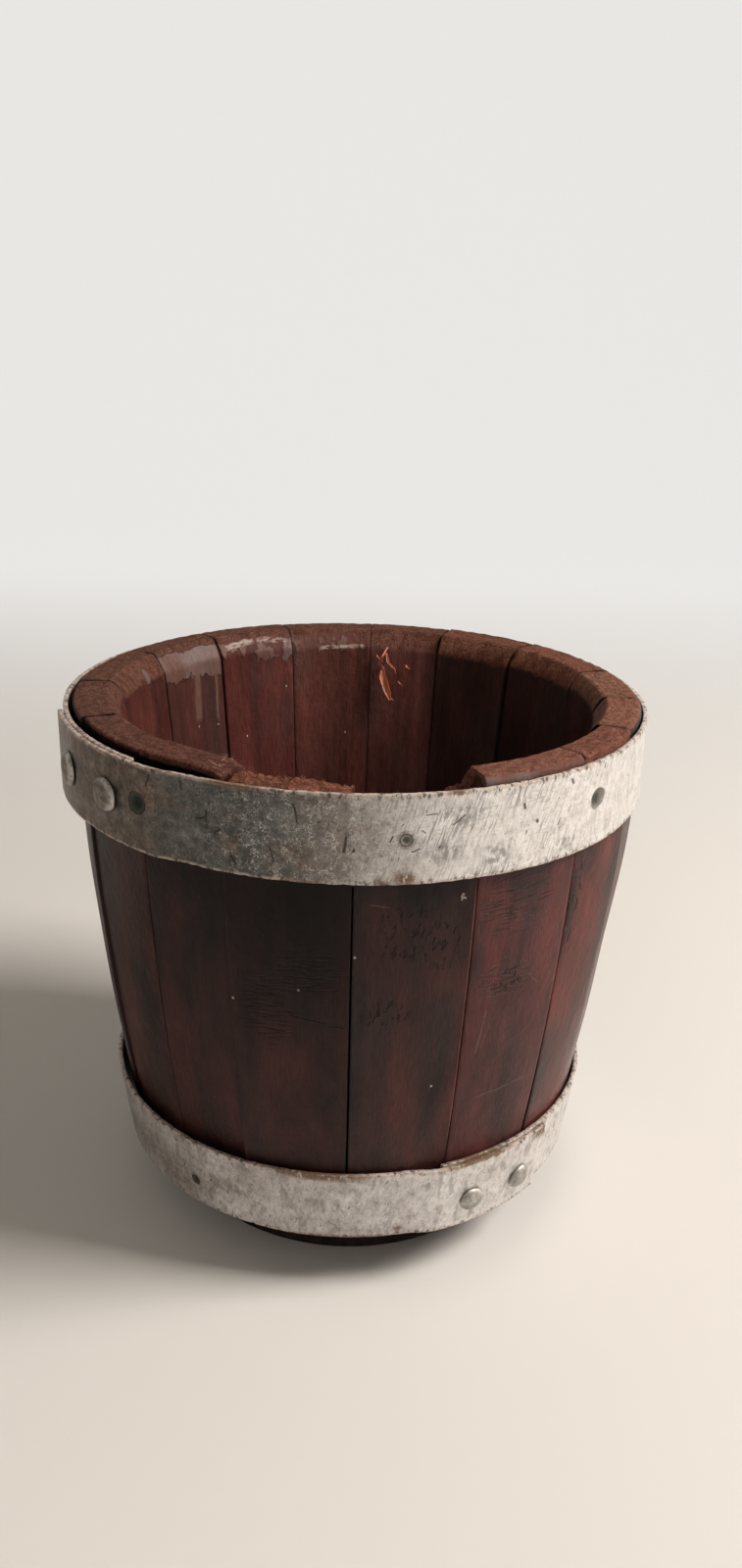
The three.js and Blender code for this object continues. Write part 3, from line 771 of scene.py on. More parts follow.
def keep_wood(board, number, x, y, height, drop, half_width):
    i = number - 1
    board_place = [x + BOARD_STEP[0] * number, y, height + BOARD_STEP[1] * number]
    keep(board, "board", np.stack(board_place, 1))

    deep = BEVEL_DEPTHS[i]
    on_bevel = END_BEVELS[i] * smooth_step(drop, deep + 5, deep - 4) * smooth_step(y, 9, 14)
    on_top = smooth_step(drop, 6, 3) if number in TORN else smooth_step(drop, 3, 0.7)
    # Where the lip is painted as shade, the end grain colour stops above it.
    if number in SHADED_LIP_DROPS:
        shade_from = SHADED_LIP_DROPS[number]
        on_top = np.where(y < 1.5, smooth_step(drop, shade_from + 0.5, shade_from - 0.1), on_top)
    if number in GRAIN_OUTSIDE:
        on_top = np.where(y < 5, smooth_step(drop, 6, 4), on_top)
    keep(board, "end", np.maximum(on_bevel, on_top))
    keep(board, "fresh", np.full(len(x), 1.0 if number in TORN else 0.0))
    keep(board, "end_tone_and_light", np.tile(END_TONE_AND_LIGHT.get(number, PLAIN_END), (len(x), 1)))
    keep(board, "gloss", GLOSS[i] * (1 + LOW_SHINE.get(number, 0) * smooth_step(height, *LOW_SHINE_HEIGHTS)))

    # Bare wood and painted sheen on the inner bevels, and bare wood on the outer edge of stave 13.
    below_rim = smooth_step(drop, 24, 8) * smooth_step(drop, 1, 4) * smooth_step(y, 11, 15)
    outer_edge = smooth_step(drop, 5, 3) * smooth_step(drop, 0.3, 1) * (y < 5)
    bare_and_sheen = BARE_AND_SHEEN_BEVELS.get(number, 0) * below_rim + BARE_OUTER_EDGE.get(number, 0) * outer_edge
    keep(board, "bare_and_sheen", bare_and_sheen)

    tight_from = np.where(x > 0, TIGHT_ABOVE.get(number, NEVER), TIGHT_ABOVE.get(number - 1, NEVER))
    keep(board, "edge", half_width - np.abs(x) + 5 * smooth_step(height, tight_from, tight_from + 25))
    # Dirt and painted shade in the open cracks at the rim.
    dirty_and_shaded = np.where(x > 0, number in DIRTY_SHADED_CRACKS, (number - 1 or len(STAVE_WIDTHS)) in DIRTY_SHADED_CRACKS)
    keep(board, "crack", dirty_and_shaded * smooth_step(half_width - np.abs(x), 1.15, 0.4) * smooth_step(drop, 16, 10))

    inner_share = smooth_step(y, 6, 15)
    # Painted shade: the outside darkens towards the upper hoop.
    shade = 1 - SHADE_BELOW_HOOP.get(number, 0) * smooth_step(drop, 120, 42) * (1 - inner_share)
    # Painted shade in the gap between the upper hoop and the wood.
    low, high = HOOP_SHADE_HEIGHTS
    in_gap_shade = smooth_step(height, high + 0.6, high - 0.8)
    if number in SHADED_LIP_DROPS:
        in_gap_shade = smooth_step(drop, shade_from, shade_from + 0.6)
    shade = shade * (1 - GAP_SHADE_DARKNESS * smooth_step(height, low, low + 6) * in_gap_shade * (y < 3))
    # The outer tone is multiplied by the painted shade above; the inner tone carries its own painted light
    # and shade.
    tone_light_and_shade = np.outer(shade * (1 - inner_share), OUTER_TONE_LIGHT_AND_SHADE[i]) + np.outer(inner_share, INNER_TONE_LIGHT_AND_SHADE[i])
    if number in RED_EDGES:
        reach, strength = RED_EDGES[number]
        tone_light_and_shade[:, 0] *= 1 + (strength - 1) * smooth_step(half_width - x, reach, 0)
    keep(board, "tone_light_and_shade", tone_light_and_shade)


print("staves with dark outsides:", sorted(SHADED_LIP_DROPS))

# %% [markdown]
# Each board is cut, eased and bent.
# Its rows lie close together at the rim, where the inner edge was rounded by use, and at the groove for the
# bottom. The torn boards are cut finer, so that the break can be ragged.

# %% Staves
TOP_ROWS = [12.5, 11, 9.6, 8.4, 7.2, 6.1, 5, 4, 3, 2, 1, 0]
BELLY_ROW = 3.2
# How wide a column of faces is, and how many cuts go through the thickness.
PLAIN_MESH = (2.0, 9)
TORN_MESH = (1.1, 15)
BOARD_EASE = 0.6


def row_heights(top):
    low, high = CROZE[:2]
    foot = [FOOT_HEIGHT + step for step in (0, 1, 3, 6)]
    groove = [low - 0.1, low + 0.1, (low + high) / 2, high - 0.1, high + 0.1, high + 4]
    first, last = high + 8, top - 14
    belly = list(np.linspace(first, last, round((last - first) / BELLY_ROW)))
    return foot + groove + belly + [top - below for below in TOP_ROWS]


def rounded(share, crown):
    return 1 - (1 - share ** crown) ** (1 / crown)


def make_stave(number, start, end):
    i = number - 1
    top = RIM_HEIGHT - RIM_DROPS[i]
    width = (end - start) * RIM_RADIUS
    heights = row_heights(top)
    rows = len(heights) - 1
    column, layers = TORN_MESH if number in TORN else PLAIN_MESH
    board = add_block(f"stave_{number:02d}_wood", (-width / 2, 0, 0), (width / 2, THICKNESS, rows))
    cut_rows(board, 2, rows - 1)
    cut_rows(board, 0, round(width / column) - 1)
    cut_rows(board, 1, layers)
    ease_corners(board, BOARD_EASE)

    x, y, z = points_of(board).T
    height = np.interp(z, np.arange(rows + 1), heights)
    depth = np.clip(y / THICKNESS, 0, 1)
    drop = top - height
    low, high, deep = CROZE

    reach = outer_radius(height) - STAVE_INSETS[i]
    near_top = np.clip(1 - drop / OUTER_ROUNDS[i], 0, 1)
    reach = reach - OUTER_ROUNDS[i] * rounded(near_top, 1.0 if number in BARE_OUTER_EDGE else 2.0)
    above_floor = smooth_step(height, *FLOOR_BLEND)
    bore = inner_radius(height) - INNER_STEPS[i] * above_floor
    near_top = np.clip(1 - drop / BEVEL_DEPTHS[i], 0, 1)
    bore = bore + BEVEL_WIDTHS[i] * rounded(near_top, BEVEL_CROWNS[i])
    bore = bore + np.where((height > low) & (height < high), deep, 0)
    radius = reach + (bore - reach) * depth
    uneven = WAVE_HEIGHT * wander(np.stack([x, 0 * y, height], 1), WAVE_LENGTH, 7.0 * number)
    uneven = uneven - FLATNESS * (1 - (2 * x / width) ** 2) * (1 - depth)
    radius = radius + uneven * smooth_step(drop, 0, 30) * above_floor
    swollen_deg, half_deg, rise = SWOLLEN
    aside = (np.degrees(start + (x / width + 0.5) * (end - start)) - swollen_deg) / half_deg
    between_hoops = smooth_step(height, *SWOLLEN_FROM) * smooth_step(height, *SWOLLEN_TO)
    radius = radius + rise * np.exp(-aside ** 2) * between_hoops * (1 - depth)

    gap_start = joint_gap(number - 1 or len(STAVE_WIDTHS), height, depth) / radius
    gap_end = joint_gap(number, height, depth) / radius
    angle = start + gap_start + (x / width + 0.5) * (end - start - gap_start - gap_end)
    lowered = height - top_loss(number, x, y, width / 2) * smooth_step(drop, 14, 0)
    roll_up(board, radius, angle, lowered)
    keep_wood(board, number, x, y, height, drop, width / 2)
    return finish_piece(board, f"stave_{number:02d}", stave_wood)


edges = np.radians(joints)
staves = [make_stave(k + 1, edges[k], edges[k + 1]) for k in range(len(STAVE_WIDTHS))]
print("staves:", len(staves), "with", sum(len(s.data.polygons) for s in staves), "faces")


# %% [markdown]
# Where the wood tore, loose fibres stand up from the break.
# One fibre is modelled as a thin spike, and its copies are bent, scattered over the break and joined.
# Hair could do this too, but a mesh stays as it is wherever the model is used.

# %% Fibres of the torn tops
def make_torn_wood():
    material, tree, shader = new_material("torn_wood")
    place = object_place(tree)
    fibre = cloud(tree, place, (0.6 * MM, 0.6 * MM, 9 * MM), 4, 0.6)
    colour = ramp(tree, fibre, [(0.3, (0.130, 0.050, 0.033)), (0.5, (0.260, 0.105, 0.068)),
                                (0.7, (0.420, 0.190, 0.125))])
    colour = mix(tree, attribute(tree, "pale"), colour, (0.560, 0.360, 0.300))
    feed(shader, "Base Color", colour)
    shader.inputs["Roughness"].default_value = 0.75
    return material


# Each group of fibres: its stave, how many, from where to where across, their lengths and how pale they are.
FIBRES = [
    (11, 420, (-0.49, 0.49), (0.8, 2.4), 0.35),
    (10, 45, (0.32, 0.49), (1.5, 4.0), 1.0),
    (12, 60, (0.10, 0.48), (1.0, 3.0), 0.3),
]
FIBRE_THICKNESS = (0.06, 0.12)
FIBRE_LEAN = (0.9, 1.5)
FIBRE_BEND = 0.45
FIBRE_SEED = 21
LOOSE_SMOOTH = 60


def make_fibre():
    deselect()
    bpy.ops.mesh.primitive_cone_add(vertices=4, radius1=1, radius2=0.15, depth=1, location=(0, 0, 0.5))
    bpy.ops.object.transform_apply(location=True, rotation=True, scale=True)
    fibre = bpy.context.object
    bpy.ops.object.mode_set(mode="EDIT")
    bpy.ops.mesh.select_all(action="SELECT")
    bpy.ops.mesh.subdivide(number_cuts=2)
    bpy.ops.object.mode_set(mode="OBJECT")
    return fibre


def scatter_fibre(model, draw, number, span, lengths, pale):
    i = number - 1
    width = (edges[number] - edges[i]) * RIM_RADIUS
    x = draw.uniform(*span) * width
    y = draw.uniform(1.5, THICKNESS - 3)
    loss = top_loss(number, np.array([x]), np.array([y]), width / 2)[0]
    radius = outer_radius(RIM_HEIGHT) - STAVE_INSETS[i] - y
    angle = (edges[i] + edges[number]) / 2 + x / RIM_RADIUS
    height = RIM_HEIGHT - RIM_DROPS[i] - loss - 0.5
    size = draw.uniform(*FIBRE_THICKNESS)
    length = draw.uniform(*lengths)
    lean = Matrix.Rotation(draw.uniform(*FIBRE_LEAN), 4, "X")
    way = Matrix.Rotation(draw.uniform(0, 2 * math.pi), 4, "Z")
    place = Matrix.Translation(Vector((radius * math.cos(angle), radius * math.sin(angle), height)) * MM)
    fibre = model.copy()
    fibre.data = model.data.copy()
    bpy.context.collection.objects.link(fibre)
    fibre.data.transform(Matrix.Diagonal((size * MM, size * MM, length * MM, 1)))
    points = points_of(fibre)
    points[:, 0] += draw.uniform(0, FIBRE_BEND) * length * (points[:, 2] / length) ** 2
    place_points(fibre, points)
    fibre.data.transform(place @ way @ lean)
    keep(fibre, "pale", np.full(len(points), pale * draw.uniform(0.3, 1)))
    return fibre


def make_fibres():
    model = make_fibre()
    draw = random.Random(FIBRE_SEED)
    copies = []
    for number, count, span, lengths, pale in FIBRES:
        copies += [scatter_fibre(model, draw, number, span, lengths, pale) for k in range(count)]
    bpy.data.objects.remove(model, do_unlink=True)
    return finish_piece(join_pieces(copies, "torn_fibres"), None, torn_wood, LOOSE_SMOOTH)


torn_wood = make_torn_wood()
fibres = make_fibres()
print("fibre faces:", len(fibres.data.polygons))


# %% [markdown]
# A splinter still hangs inside the back wall, with some shreds round it.
# It is a few ribbons, each a flat block that is carried along a curve on the wall, thin at both ends.

# %% Splinter
def make_peeled_wood():
    material, tree, shader = new_material("peeled_wood")
    place = object_place(tree)
    fibre = cloud(tree, place, (0.5 * MM, 0.5 * MM, 6 * MM), 4, 0.6)
    colour = ramp(tree, fibre, [(0.3, (0.400, 0.110, 0.055)), (0.5, (0.620, 0.200, 0.100)),
                                (0.7, (0.780, 0.340, 0.190))])
    feed(shader, "Base Color", colour)
    shader.inputs["Roughness"].default_value = 0.6
    feed(shader, "Normal", bump(tree, fibre, 0.12))
    return material


# Each ribbon: places as angle, height and distance off the wall, then its widths from end to end.
RIBBONS = [
    ([(82.9, 218.5, 0.4), (82.3, 213, 2.2), (80.8, 206, 2.6), (79.9, 202.0, 3.6)], [1.4, 4.0, 3.6, 1.0]),
    ([(80.9, 207, 2.4), (80.2, 203.5, 3.0), (79.0, 201.6, 2.4)], [2.0, 1.6, 0.6]),
    ([(82.6, 217, 0.6), (83.6, 221, 2.4), (82.6, 225, 3.4), (81.5, 228.8, 0.6)], [1.3, 1.5, 1.2, 0.7]),
    ([(81.6, 226, 2.2), (81.0, 221.5, 3.0), (79.3, 219.0, 3.2), (78.7, 215.6, 1.6)], [0.9, 1.2, 1.3, 0.6]),
    ([(84.6, 224.5, 0.5), (83.6, 222.8, 2.0), (82.8, 221.6, 1.2)], [0.6, 1.2, 0.5]),
    ([(75.9, 220.3, 0.4), (75.3, 219.2, 1.2), (74.7, 218.3, 0.5)], [0.5, 1.0, 0.4]),
    ([(77.9, 211.3, 0.4), (77.2, 210.4, 1.2), (76.8, 209.0, 0.5)], [0.5, 0.9, 0.4]),
]
RIBBON_THICKNESS = 0.8
RIBBON_CUTS = (15, 3)


def along_curve(values, share):
    knots = np.linspace(0, 1, len(values))
    soft = smooth_step(share, 0, 1) * 0.25 + share * 0.75
    return np.interp(soft, knots, values)


def make_ribbon(places, widths):
    ribbon = add_block("ribbon", (-0.5, -0.5, 0), (0.5, 0.5, 1))
    cut_rows(ribbon, 2, RIBBON_CUTS[0])
    cut_rows(ribbon, 0, RIBBON_CUTS[1])
    x, y, share = points_of(ribbon).T
    angle = np.radians(along_curve([p[0] for p in places], share))
    height = along_curve([p[1] for p in places], share)
    off = along_curve([p[2] for p in places], share)
    wide = along_curve(widths, share)
    curl = 1.2 * wide * x * x
    radius = inner_radius(height) - off - curl - RIBBON_THICKNESS * y * np.clip(wide, 0.4, 1)
    turned = angle + x * wide / radius
    tilted = height + 0.25 * wide * x
    roll_up(ribbon, radius, turned, tilted)
    return ribbon


def make_splinter():
    ribbons = [make_ribbon(*plan) for plan in RIBBONS]
    splinter = join_pieces(ribbons, "inner_splinter")
    return finish_piece(splinter, None, make_peeled_wood(), LOOSE_SMOOTH)


splinter = make_splinter()
print("splinter faces:", len(splinter.data.polygons))

# %% [markdown]
# A hoop is made as the smith made it: a flat strip is cut to length, its edges are eased and its holes
# punched. Then it is rolled up, and its outer end climbs over the inner end by a joggle.
# The formula is the one of the solid model: the hoops are loose and hang a little to the left.

# %% Shape of the hoops
STRIP_WIDTH = 35
STRIP_THICKNESS = 2
LIFT = 2.3
JOGGLE = 15
CLEARANCE = 0.35
SLACK = 0.5
SLACK_DEG = 205
SWELL = BELLY * (STRIP_WIDTH / (RIM_HEIGHT - FOOT_HEIGHT)) ** 2
HANG = (SLACK * math.cos(math.radians(SLACK_DEG)), SLACK * math.sin(math.radians(SLACK_DEG)))
PATTERN_STEP = 2000


class Hoop:
    def __init__(self, label, top, lap_deg, lap_length, joggle_lead, turn, splay_share, pattern_from):
        self.label = label
        self.top = top
        self.bottom = top - STRIP_WIDTH
        self.splay = splay_share * (outer_radius(top) - outer_radius(self.bottom)) / STRIP_WIDTH
        self.seat = outer_radius(top) + SWELL + CLEARANCE + SLACK
        self.start = math.radians(lap_deg)
        self.turn = turn
        self.lap = lap_length / self.seat
        self.length = (2 * math.pi + self.lap) * self.seat
        self.joggle_to = 2 * math.pi - joggle_lead / self.seat
        self.pattern_from = pattern_from

    def inner(self, run, height):
        rise = LIFT * smooth_step(run, self.joggle_to - JOGGLE / self.seat, self.joggle_to)
        return self.seat + rise - self.splay * (self.top - height)

    def run_to(self, angle_deg):
        run = (self.turn * (math.radians(angle_deg) - self.start)) % (2 * math.pi)
        return run + 2 * math.pi if run < self.lap else run

    def along(self, run):
        return run * self.seat if self.turn > 0 else self.length - run * self.seat

    def run_at(self, along):
        return along / self.seat if self.turn > 0 else (self.length - along) / self.seat

    def on_strip(self, angle_deg, height):
        return self.along(self.run_to(angle_deg)) + self.pattern_from, height - self.bottom


upper = Hoop("upper", top=235.2, lap_deg=229, lap_length=71, joggle_lead=12, turn=-1, splay_share=0,
             pattern_from=0)
lower = Hoop("lower", top=62, lap_deg=291, lap_length=56, joggle_lead=0, turn=1, splay_share=0.75,
             pattern_from=PATTERN_STEP)
print("strip lengths:", round(upper.length), round(lower.length), "mm")

# %% [markdown]
# The strip is an old light metal: brown and green with dirt at the left, rubbed bright at the right.
# Its pattern follows the strip too: along it, through it and across it, in millimetres.
# Fine curled scratches cover all of it, the bright part was sanded at a slant, and the edges are worn, with a
# painted highlight along the top edge.
# How clean, green, scribbled on and sanded the metal is comes with the strip, as values by angle.

# %% Places on the hoops
NICKS = [((245.3, 224), (245.2, 216), 1.1), ((242.9, 219.4), (245.2, 220.6), 1.0),
         ((246.5, 215), (248, 217.4), 1.2), ((249.6, 209), (250.6, 203.7), 1.3),
         ((234.6, 233), (233.7, 227.6), 1.4), ((260.2, 231), (261.1, 223), 1.1),
         ((268.8, 219.6), (268.5, 212.8), 1.3), ((240.2, 233), (240.7, 229), 1.2),
         ((226.1, 234.6), (226.7, 231.5), 1.5), ((256.5, 213), (257.2, 207), 1.0),
         ((299.1, 227.5), (299.4, 224.5), 1.5), ((302.0, 219.5), (302.5, 218), 1.6),
         ((309.6, 232.5), (310.2, 229.5), 1.3), ((286.0, 222), (288.5, 226), 0.6),
         ((281.5, 226.8), (283.5, 227.5), 0.6), ((280.9, 221.4), (281.8, 219.8), 0.6),
         ((275.8, 216.8), (276.4, 219.6), 0.6), ((279.2, 213.2), (281.0, 214.4), 0.6)]
STAINED_RINGS = [(lower, (233.4, 40), 4.0, 4.0), (upper, (278.6, 217.7), 4.6, 4.6)]
# Dark green grime beside the rivets and a screw, painted partly as the shadow that the heads cast.
GRIME_AND_SHADOW_PLACES = [(upper, (209.9, 218.2), 3.4, 8), (upper, (226.4, 218.2), 3.2, 8),
                (upper, (231.6, 219.7), 5.6, 5.6)]
GREY_PATCHES = [(upper, (294.4, 208), 8, 7), (upper, (309, 206), 8, 4), (upper, (288.5, 226), 6, 6),
                (upper, (285, 212), 9, 5)]
print("nicks in the upper hoop:", len(NICKS))

# %% [markdown]
# Under its dirt the metal has three colours: brown, a dark green stain and a bright silver.
# Clouds of noise mottle each of them, and the tone that the strip carries says which one shows.
# One even grey would be quicker, but it would look like new sheet.

# %% Patterns of the hoop metal
def metal_patterns(tree):
    strip = attribute(tree, "strip", "Vector")
    blotch = cloud(tree, strip, (28, 28, 17), 4, shift=(7, 0, 3))
    clean = calc(tree, "ADD", attribute(tree, "tone"),
                 product(tree, calc(tree, "SUBTRACT", blotch, 0.5), 0.7))
    return SimpleNamespace(
        strip=strip,
        blotch=blotch,
        clean=between(tree, clean, 0.0, 1.0),
        stain=product(tree, attribute(tree, "green"), between(tree, blotch, 0.36, 0.52)),
        mottle=cloud(tree, strip, 5, 7, 0.76),
        grain=cloud(tree, strip, 0.7, 4, 0.7),
        flake=cloud(tree, strip, (2.0, 2.0, 3.6), 4, 0.65, shift=(90, 0, 0)),
    )


def bare_metal(tree, metal):
    brown = ramp(tree, metal.mottle, [(0.36, (0.052, 0.034, 0.024)), (0.50, (0.140, 0.096, 0.070)),
                                      (0.64, (0.340, 0.250, 0.190))])
    green = ramp(tree, metal.mottle, [(0.36, (0.020, 0.027, 0.025)), (0.52, (0.060, 0.070, 0.066)),
                                      (0.66, (0.180, 0.186, 0.175))])
    silver = ramp(tree, metal.mottle, [(0.32, (0.420, 0.400, 0.388)), (0.44, (0.860, 0.830, 0.816)),
                                       (0.58, (0.960, 0.934, 0.926))])
    return mix(tree, metal.clean, mix(tree, metal.stain, brown, green), silver)


# %% [markdown]
# The marks of the metal are made like those of the wood: each function says how strongly one kind shows.
# Curled lines are where a cloud of noise crosses its middle value, and straight ones are a stretched cloud.

# %% Scratches and dirt of the hoops
def curled_lines(tree, metal):
    curl = cloud(tree, metal.strip, 1.7, 2, 0.5, swirl=1.4)
    worm = between(tree, calc(tree, "ABSOLUTE", calc(tree, "SUBTRACT", curl, 0.5)), 0.050, 0.016)
    clumps = between(tree, cloud(tree, metal.strip, 4.0, 3, 0.6, shift=(3, 0, 55)), 0.38, 0.62)
    return product(tree, worm, clumps)


def sanding_lines(tree, metal):
    wavy = shake(tree, metal.strip, 20, 3)
    slanted = cloud(tree, wavy, (0.7, 0.7, 12), 3, 0.6, turned_deg=19)
    crossed = cloud(tree, wavy, (11, 11, 0.8), 3, 0.6, turned_deg=-6, shift=(0, 0, 70))
    lines = largest(tree, [between(tree, slanted, 0.52, 0.60), between(tree, crossed, 0.56, 0.66, 0, 0.7)])
    patchy = between(tree, metal.blotch, 0.40, 0.54, 0.4, 1)
    return slanted, product(tree, lines, attribute(tree, "sanded"), patchy)


def smudges(tree, metal):
    smudge = between(tree, cloud(tree, metal.strip, (5, 5, 11), 4, 0.6, shift=(55, 0, 13)), 0.50, 0.64)
    along = axes_of(tree, metal.strip)["X"]
    return product(tree, smudge, between(tree, along, 0.9 * PATTERN_STEP, PATTERN_STEP, 0.15, 0.5))


def gouges(tree, metal):
    wavy = shake(tree, metal.strip, 5, 1.4)
    nicks = [stroke(tree, wavy, upper.on_strip(*a), upper.on_strip(*b), w) for a, b, w in NICKS]
    nick = product(tree, largest(tree, nicks), between(tree, metal.grain, 0.30, 0.45))
    slits = between(tree, cloud(tree, wavy, (1.3, 1.3, 5), 1.5, 0.4, turned_deg=24), 0.71, 0.75)
    return largest(tree, [nick, slits])


def strip_spots(tree, metal, places):
    return largest(tree, [spot(tree, metal.strip, hoop.on_strip(*c), w, h) for hoop, c, w, h in places])


# %% [markdown]
# The coats follow in the order in which they came onto the metal, with rust at the edges last; among them are
# painted shadows beside the heads and a painted highlight along the top edge.
# Dirt and rust are no metal, so they take from the metal share of the shader and make it rougher.

# %% Hoop metal
def make_hoop_metal():
    material, tree, shader = new_material("hoop_metal")
    metal = metal_patterns(tree)
    flake, grain, clean = metal.flake, metal.grain, metal.clean
    across = axes_of(tree, metal.strip)["Z"]
    rim = calc(tree, "MINIMUM", across, calc(tree, "SUBTRACT", float(STRIP_WIDTH), across))
    dulled = product(tree, between(tree, flake, 0.50, 0.62), between(tree, clean, 0.2, 0.9, 0.6, 0.22))
    curls = curled_lines(tree, metal)
    slanted, sanding = sanding_lines(tree, metal)
    greyed = product(tree, strip_spots(tree, metal, GREY_PATCHES), between(tree, flake, 0.40, 0.56), 0.7)
    # Grime and painted shadow beside the heads.
    grime_and_shadow_strength = between(tree, metal.mottle, 0.34, 0.54, 0.95, 0.5)
    grime_and_shadow = product(tree, strip_spots(tree, metal, GRIME_AND_SHADOW_PLACES), grime_and_shadow_strength)
    peppered = product(tree, between(tree, grain, 0.50, 0.66), between(tree, clean, 0.2, 0.9, 0.6, 0.24))
    gouge = gouges(tree, metal)
    pit = specks(tree, metal.strip, 4.2, 0.45, 0.085)
    rings = strip_spots(tree, metal, STAINED_RINGS)
    ringed = product(tree, rings, between(tree, flake, 0.36, 0.54, 0.4, 0.9))
    chips = between(tree, cloud(tree, metal.strip, 3.0, 3, 0.6, shift=(0, 0, 33)), 0.38, 0.54, 0.20, 1)
    # A pale band along both edges of the strip: worn metal, and along the top edge partly a painted
    # highlight.
    rubbed_and_highlit = product(tree, between(tree, rim, 1.7, 0.5), chips)
    crumbs = product(tree, between(tree, rim, 2.8, 0.8), between(tree, flake, 0.53, 0.59))
    rusted = product(tree, attribute(tree, "rust"), between(tree, flake, 0.34, 0.48))
    colour = cover(tree, bare_metal(tree, metal), [
        (dulled, (0.130, 0.120, 0.114)),
        (product(tree, curls, attribute(tree, "scribbled")), (0.700, 0.676, 0.640)),
        (product(tree, sanding, 0.75), (0.180, 0.170, 0.160)),
        (smudges(tree, metal), (0.185, 0.168, 0.150)),
        (greyed, (0.240, 0.232, 0.222)),
        (grime_and_shadow, (0.022, 0.028, 0.024)),
        (peppered, (0.112, 0.102, 0.092)),
        (product(tree, gouge, 0.9), (0.026, 0.027, 0.023)),
        (product(tree, pit, 0.8), (0.060, 0.050, 0.040)),
        (ringed, (0.060, 0.040, 0.030)),
        (product(tree, rubbed_and_highlit, 0.85), (0.560, 0.450, 0.385)),
        (product(tree, crumbs, 0.85), (0.085, 0.052, 0.040)),
        (rusted, (0.185, 0.114, 0.066)),
        (product(tree, rusted, between(tree, grain, 0.52, 0.64), 0.7), (0.110, 0.055, 0.026)),
    ])
    feed(shader, "Base Color", colour)

    dirt = largest(tree, [gouge, rusted, product(tree, rubbed_and_highlit, 0.7), product(tree, metal.stain, 0.5)])
    feed(shader, "Metallic", calc(tree, "SUBTRACT", 0.70, product(tree, dirt, 0.60)))
    rough = between(tree, metal.mottle, 0.3, 0.7, 0.46, 0.60)
    rough = calc(tree, "ADD", rough, product(tree, dirt, 0.2))
    rough = calc(tree, "SUBTRACT", rough, product(tree, clean, 0.10))
    feed(shader, "Roughness", rough)

    relief = bump(tree, metal.mottle, 0.22)
    relief = bump(tree, slanted, 0.08, relief)
    relief = bump(tree, curls, 0.05, relief)
    relief = bump(tree, grain, 0.05, relief)
    relief = bump(tree, calc(tree, "SUBTRACT", 1.0, largest(tree, [gouge, pit])), 0.30, relief)
    feed(shader, "Normal", relief)
    return material


hoop_metal = make_hoop_metal()
print("hoop metal nodes:", len(hoop_metal.node_tree.nodes))

# %% [markdown]
# The metal changes on its way round, so tables give its tone and wear by angle, and rust sits in spots.
# Wear could be painted on by hand, but a table can be read and corrected.

# %% Wear of the hoops
UPPER_WEAR = {
    "tone": [(0, 0.85), (40, 0.7), (90, 0.5), (150, 0.3), (190, 0.36), (206, 0.28), (216, 0.08),
             (222, 0.02), (236, 0.05), (250, 0.06), (262, 0.17), (272, 0.44), (284, 0.78), (294, 1.0),
             (318, 1.1), (340, 1.0), (360, 0.85)],
    "green": [(0, 0), (200, 0.05), (232, 0.35), (240, 0.9), (254, 1.0), (264, 0.6), (276, 0.2), (288, 0),
              (360, 0)],
    "scribbled": [(0, 0.6), (196, 0.12), (236, 0.16), (244, 0.35), (254, 0.8), (282, 0.8), (300, 0.5),
                  (360, 0.6)],
    "sanded": [(0, 0.3), (256, 0.1), (270, 0.35), (282, 0.9), (298, 0.9), (310, 0.4), (360, 0.3)],
}
LOWER_WEAR = {
    "tone": [(0, 0.8), (60, 0.7), (120, 0.5), (200, 0.40), (225, 0.44), (262, 0.51), (282, 0.60),
             (291, 0.78), (320, 0.85), (360, 0.8)],
    "green": [(0, 0), (200, 0.1), (230, 0), (360, 0)],
    "scribbled": [(0, 0.5), (360, 0.5)],
    "sanded": [(0, 0.3), (360, 0.3)],
}
# Each rust spot: its angle and height on the strip, then half its length and half its height.
UPPER_RUST = [(278.5, 2.5, 6, 4), (275, 1, 4, 2), (250, 34.5, 14, 1.5), (287, 34.5, 6, 1.5),
              (262, 0.5, 9, 1.2)]
LOWER_RUST = [(264, 34.4, 29, 3.0), (319, 32, 8, 4), (300, 34.6, 20, 1.6), (268, 0.6, 30, 1.6),
              (282, 4, 3, 3)]
UPPER_SCREWS = [231.2, 317.6, 52, 142]
UPPER_NAILS = [278.6]
LOWER_NAILS = [233.4, 54, 144]
UPPER_SCREW_DROP = 15.5
UPPER_NAIL_DROP = 17.5
LOWER_NAIL_DROP = 22
# Each burr or dent: its hoop, angle, distance below the top, reach and rise.
BURRS = [(upper, 229.6, 9.8, 2.6, 0.55), (upper, 319.6, 12.5, 2.4, 0.6), (upper, 278.6, 17.5, 4.5, -0.5)]
print("rust spots:", len(UPPER_RUST + LOWER_RUST))

# %% [markdown]
# Now the two strips are cut, eased, punched and rolled up.
# Hammered strip is never flat, so its edges are chewed a little and its faces wave by a fraction of a
# millimetre, which gives the light something to catch.

# %% Hoops
STRIP_COLUMNS = (24, 19)
STRIP_ROWS = 17
STRIP_EASE = 0.5
EDGE_WEAR = 3.5
# Each wave of the strip: its height, length and seed.
STRIP_WAVES = [(0.35, 40, 9), (0.10, 9, 5)]
# Each hole: its radius at the back and at the face.
SCREW_HOLE = (3.8, 4.6)
UPPER_NAIL_HOLE = (2.3, 2.3)
LOWER_NAIL_HOLE = (2.4, 2.4)


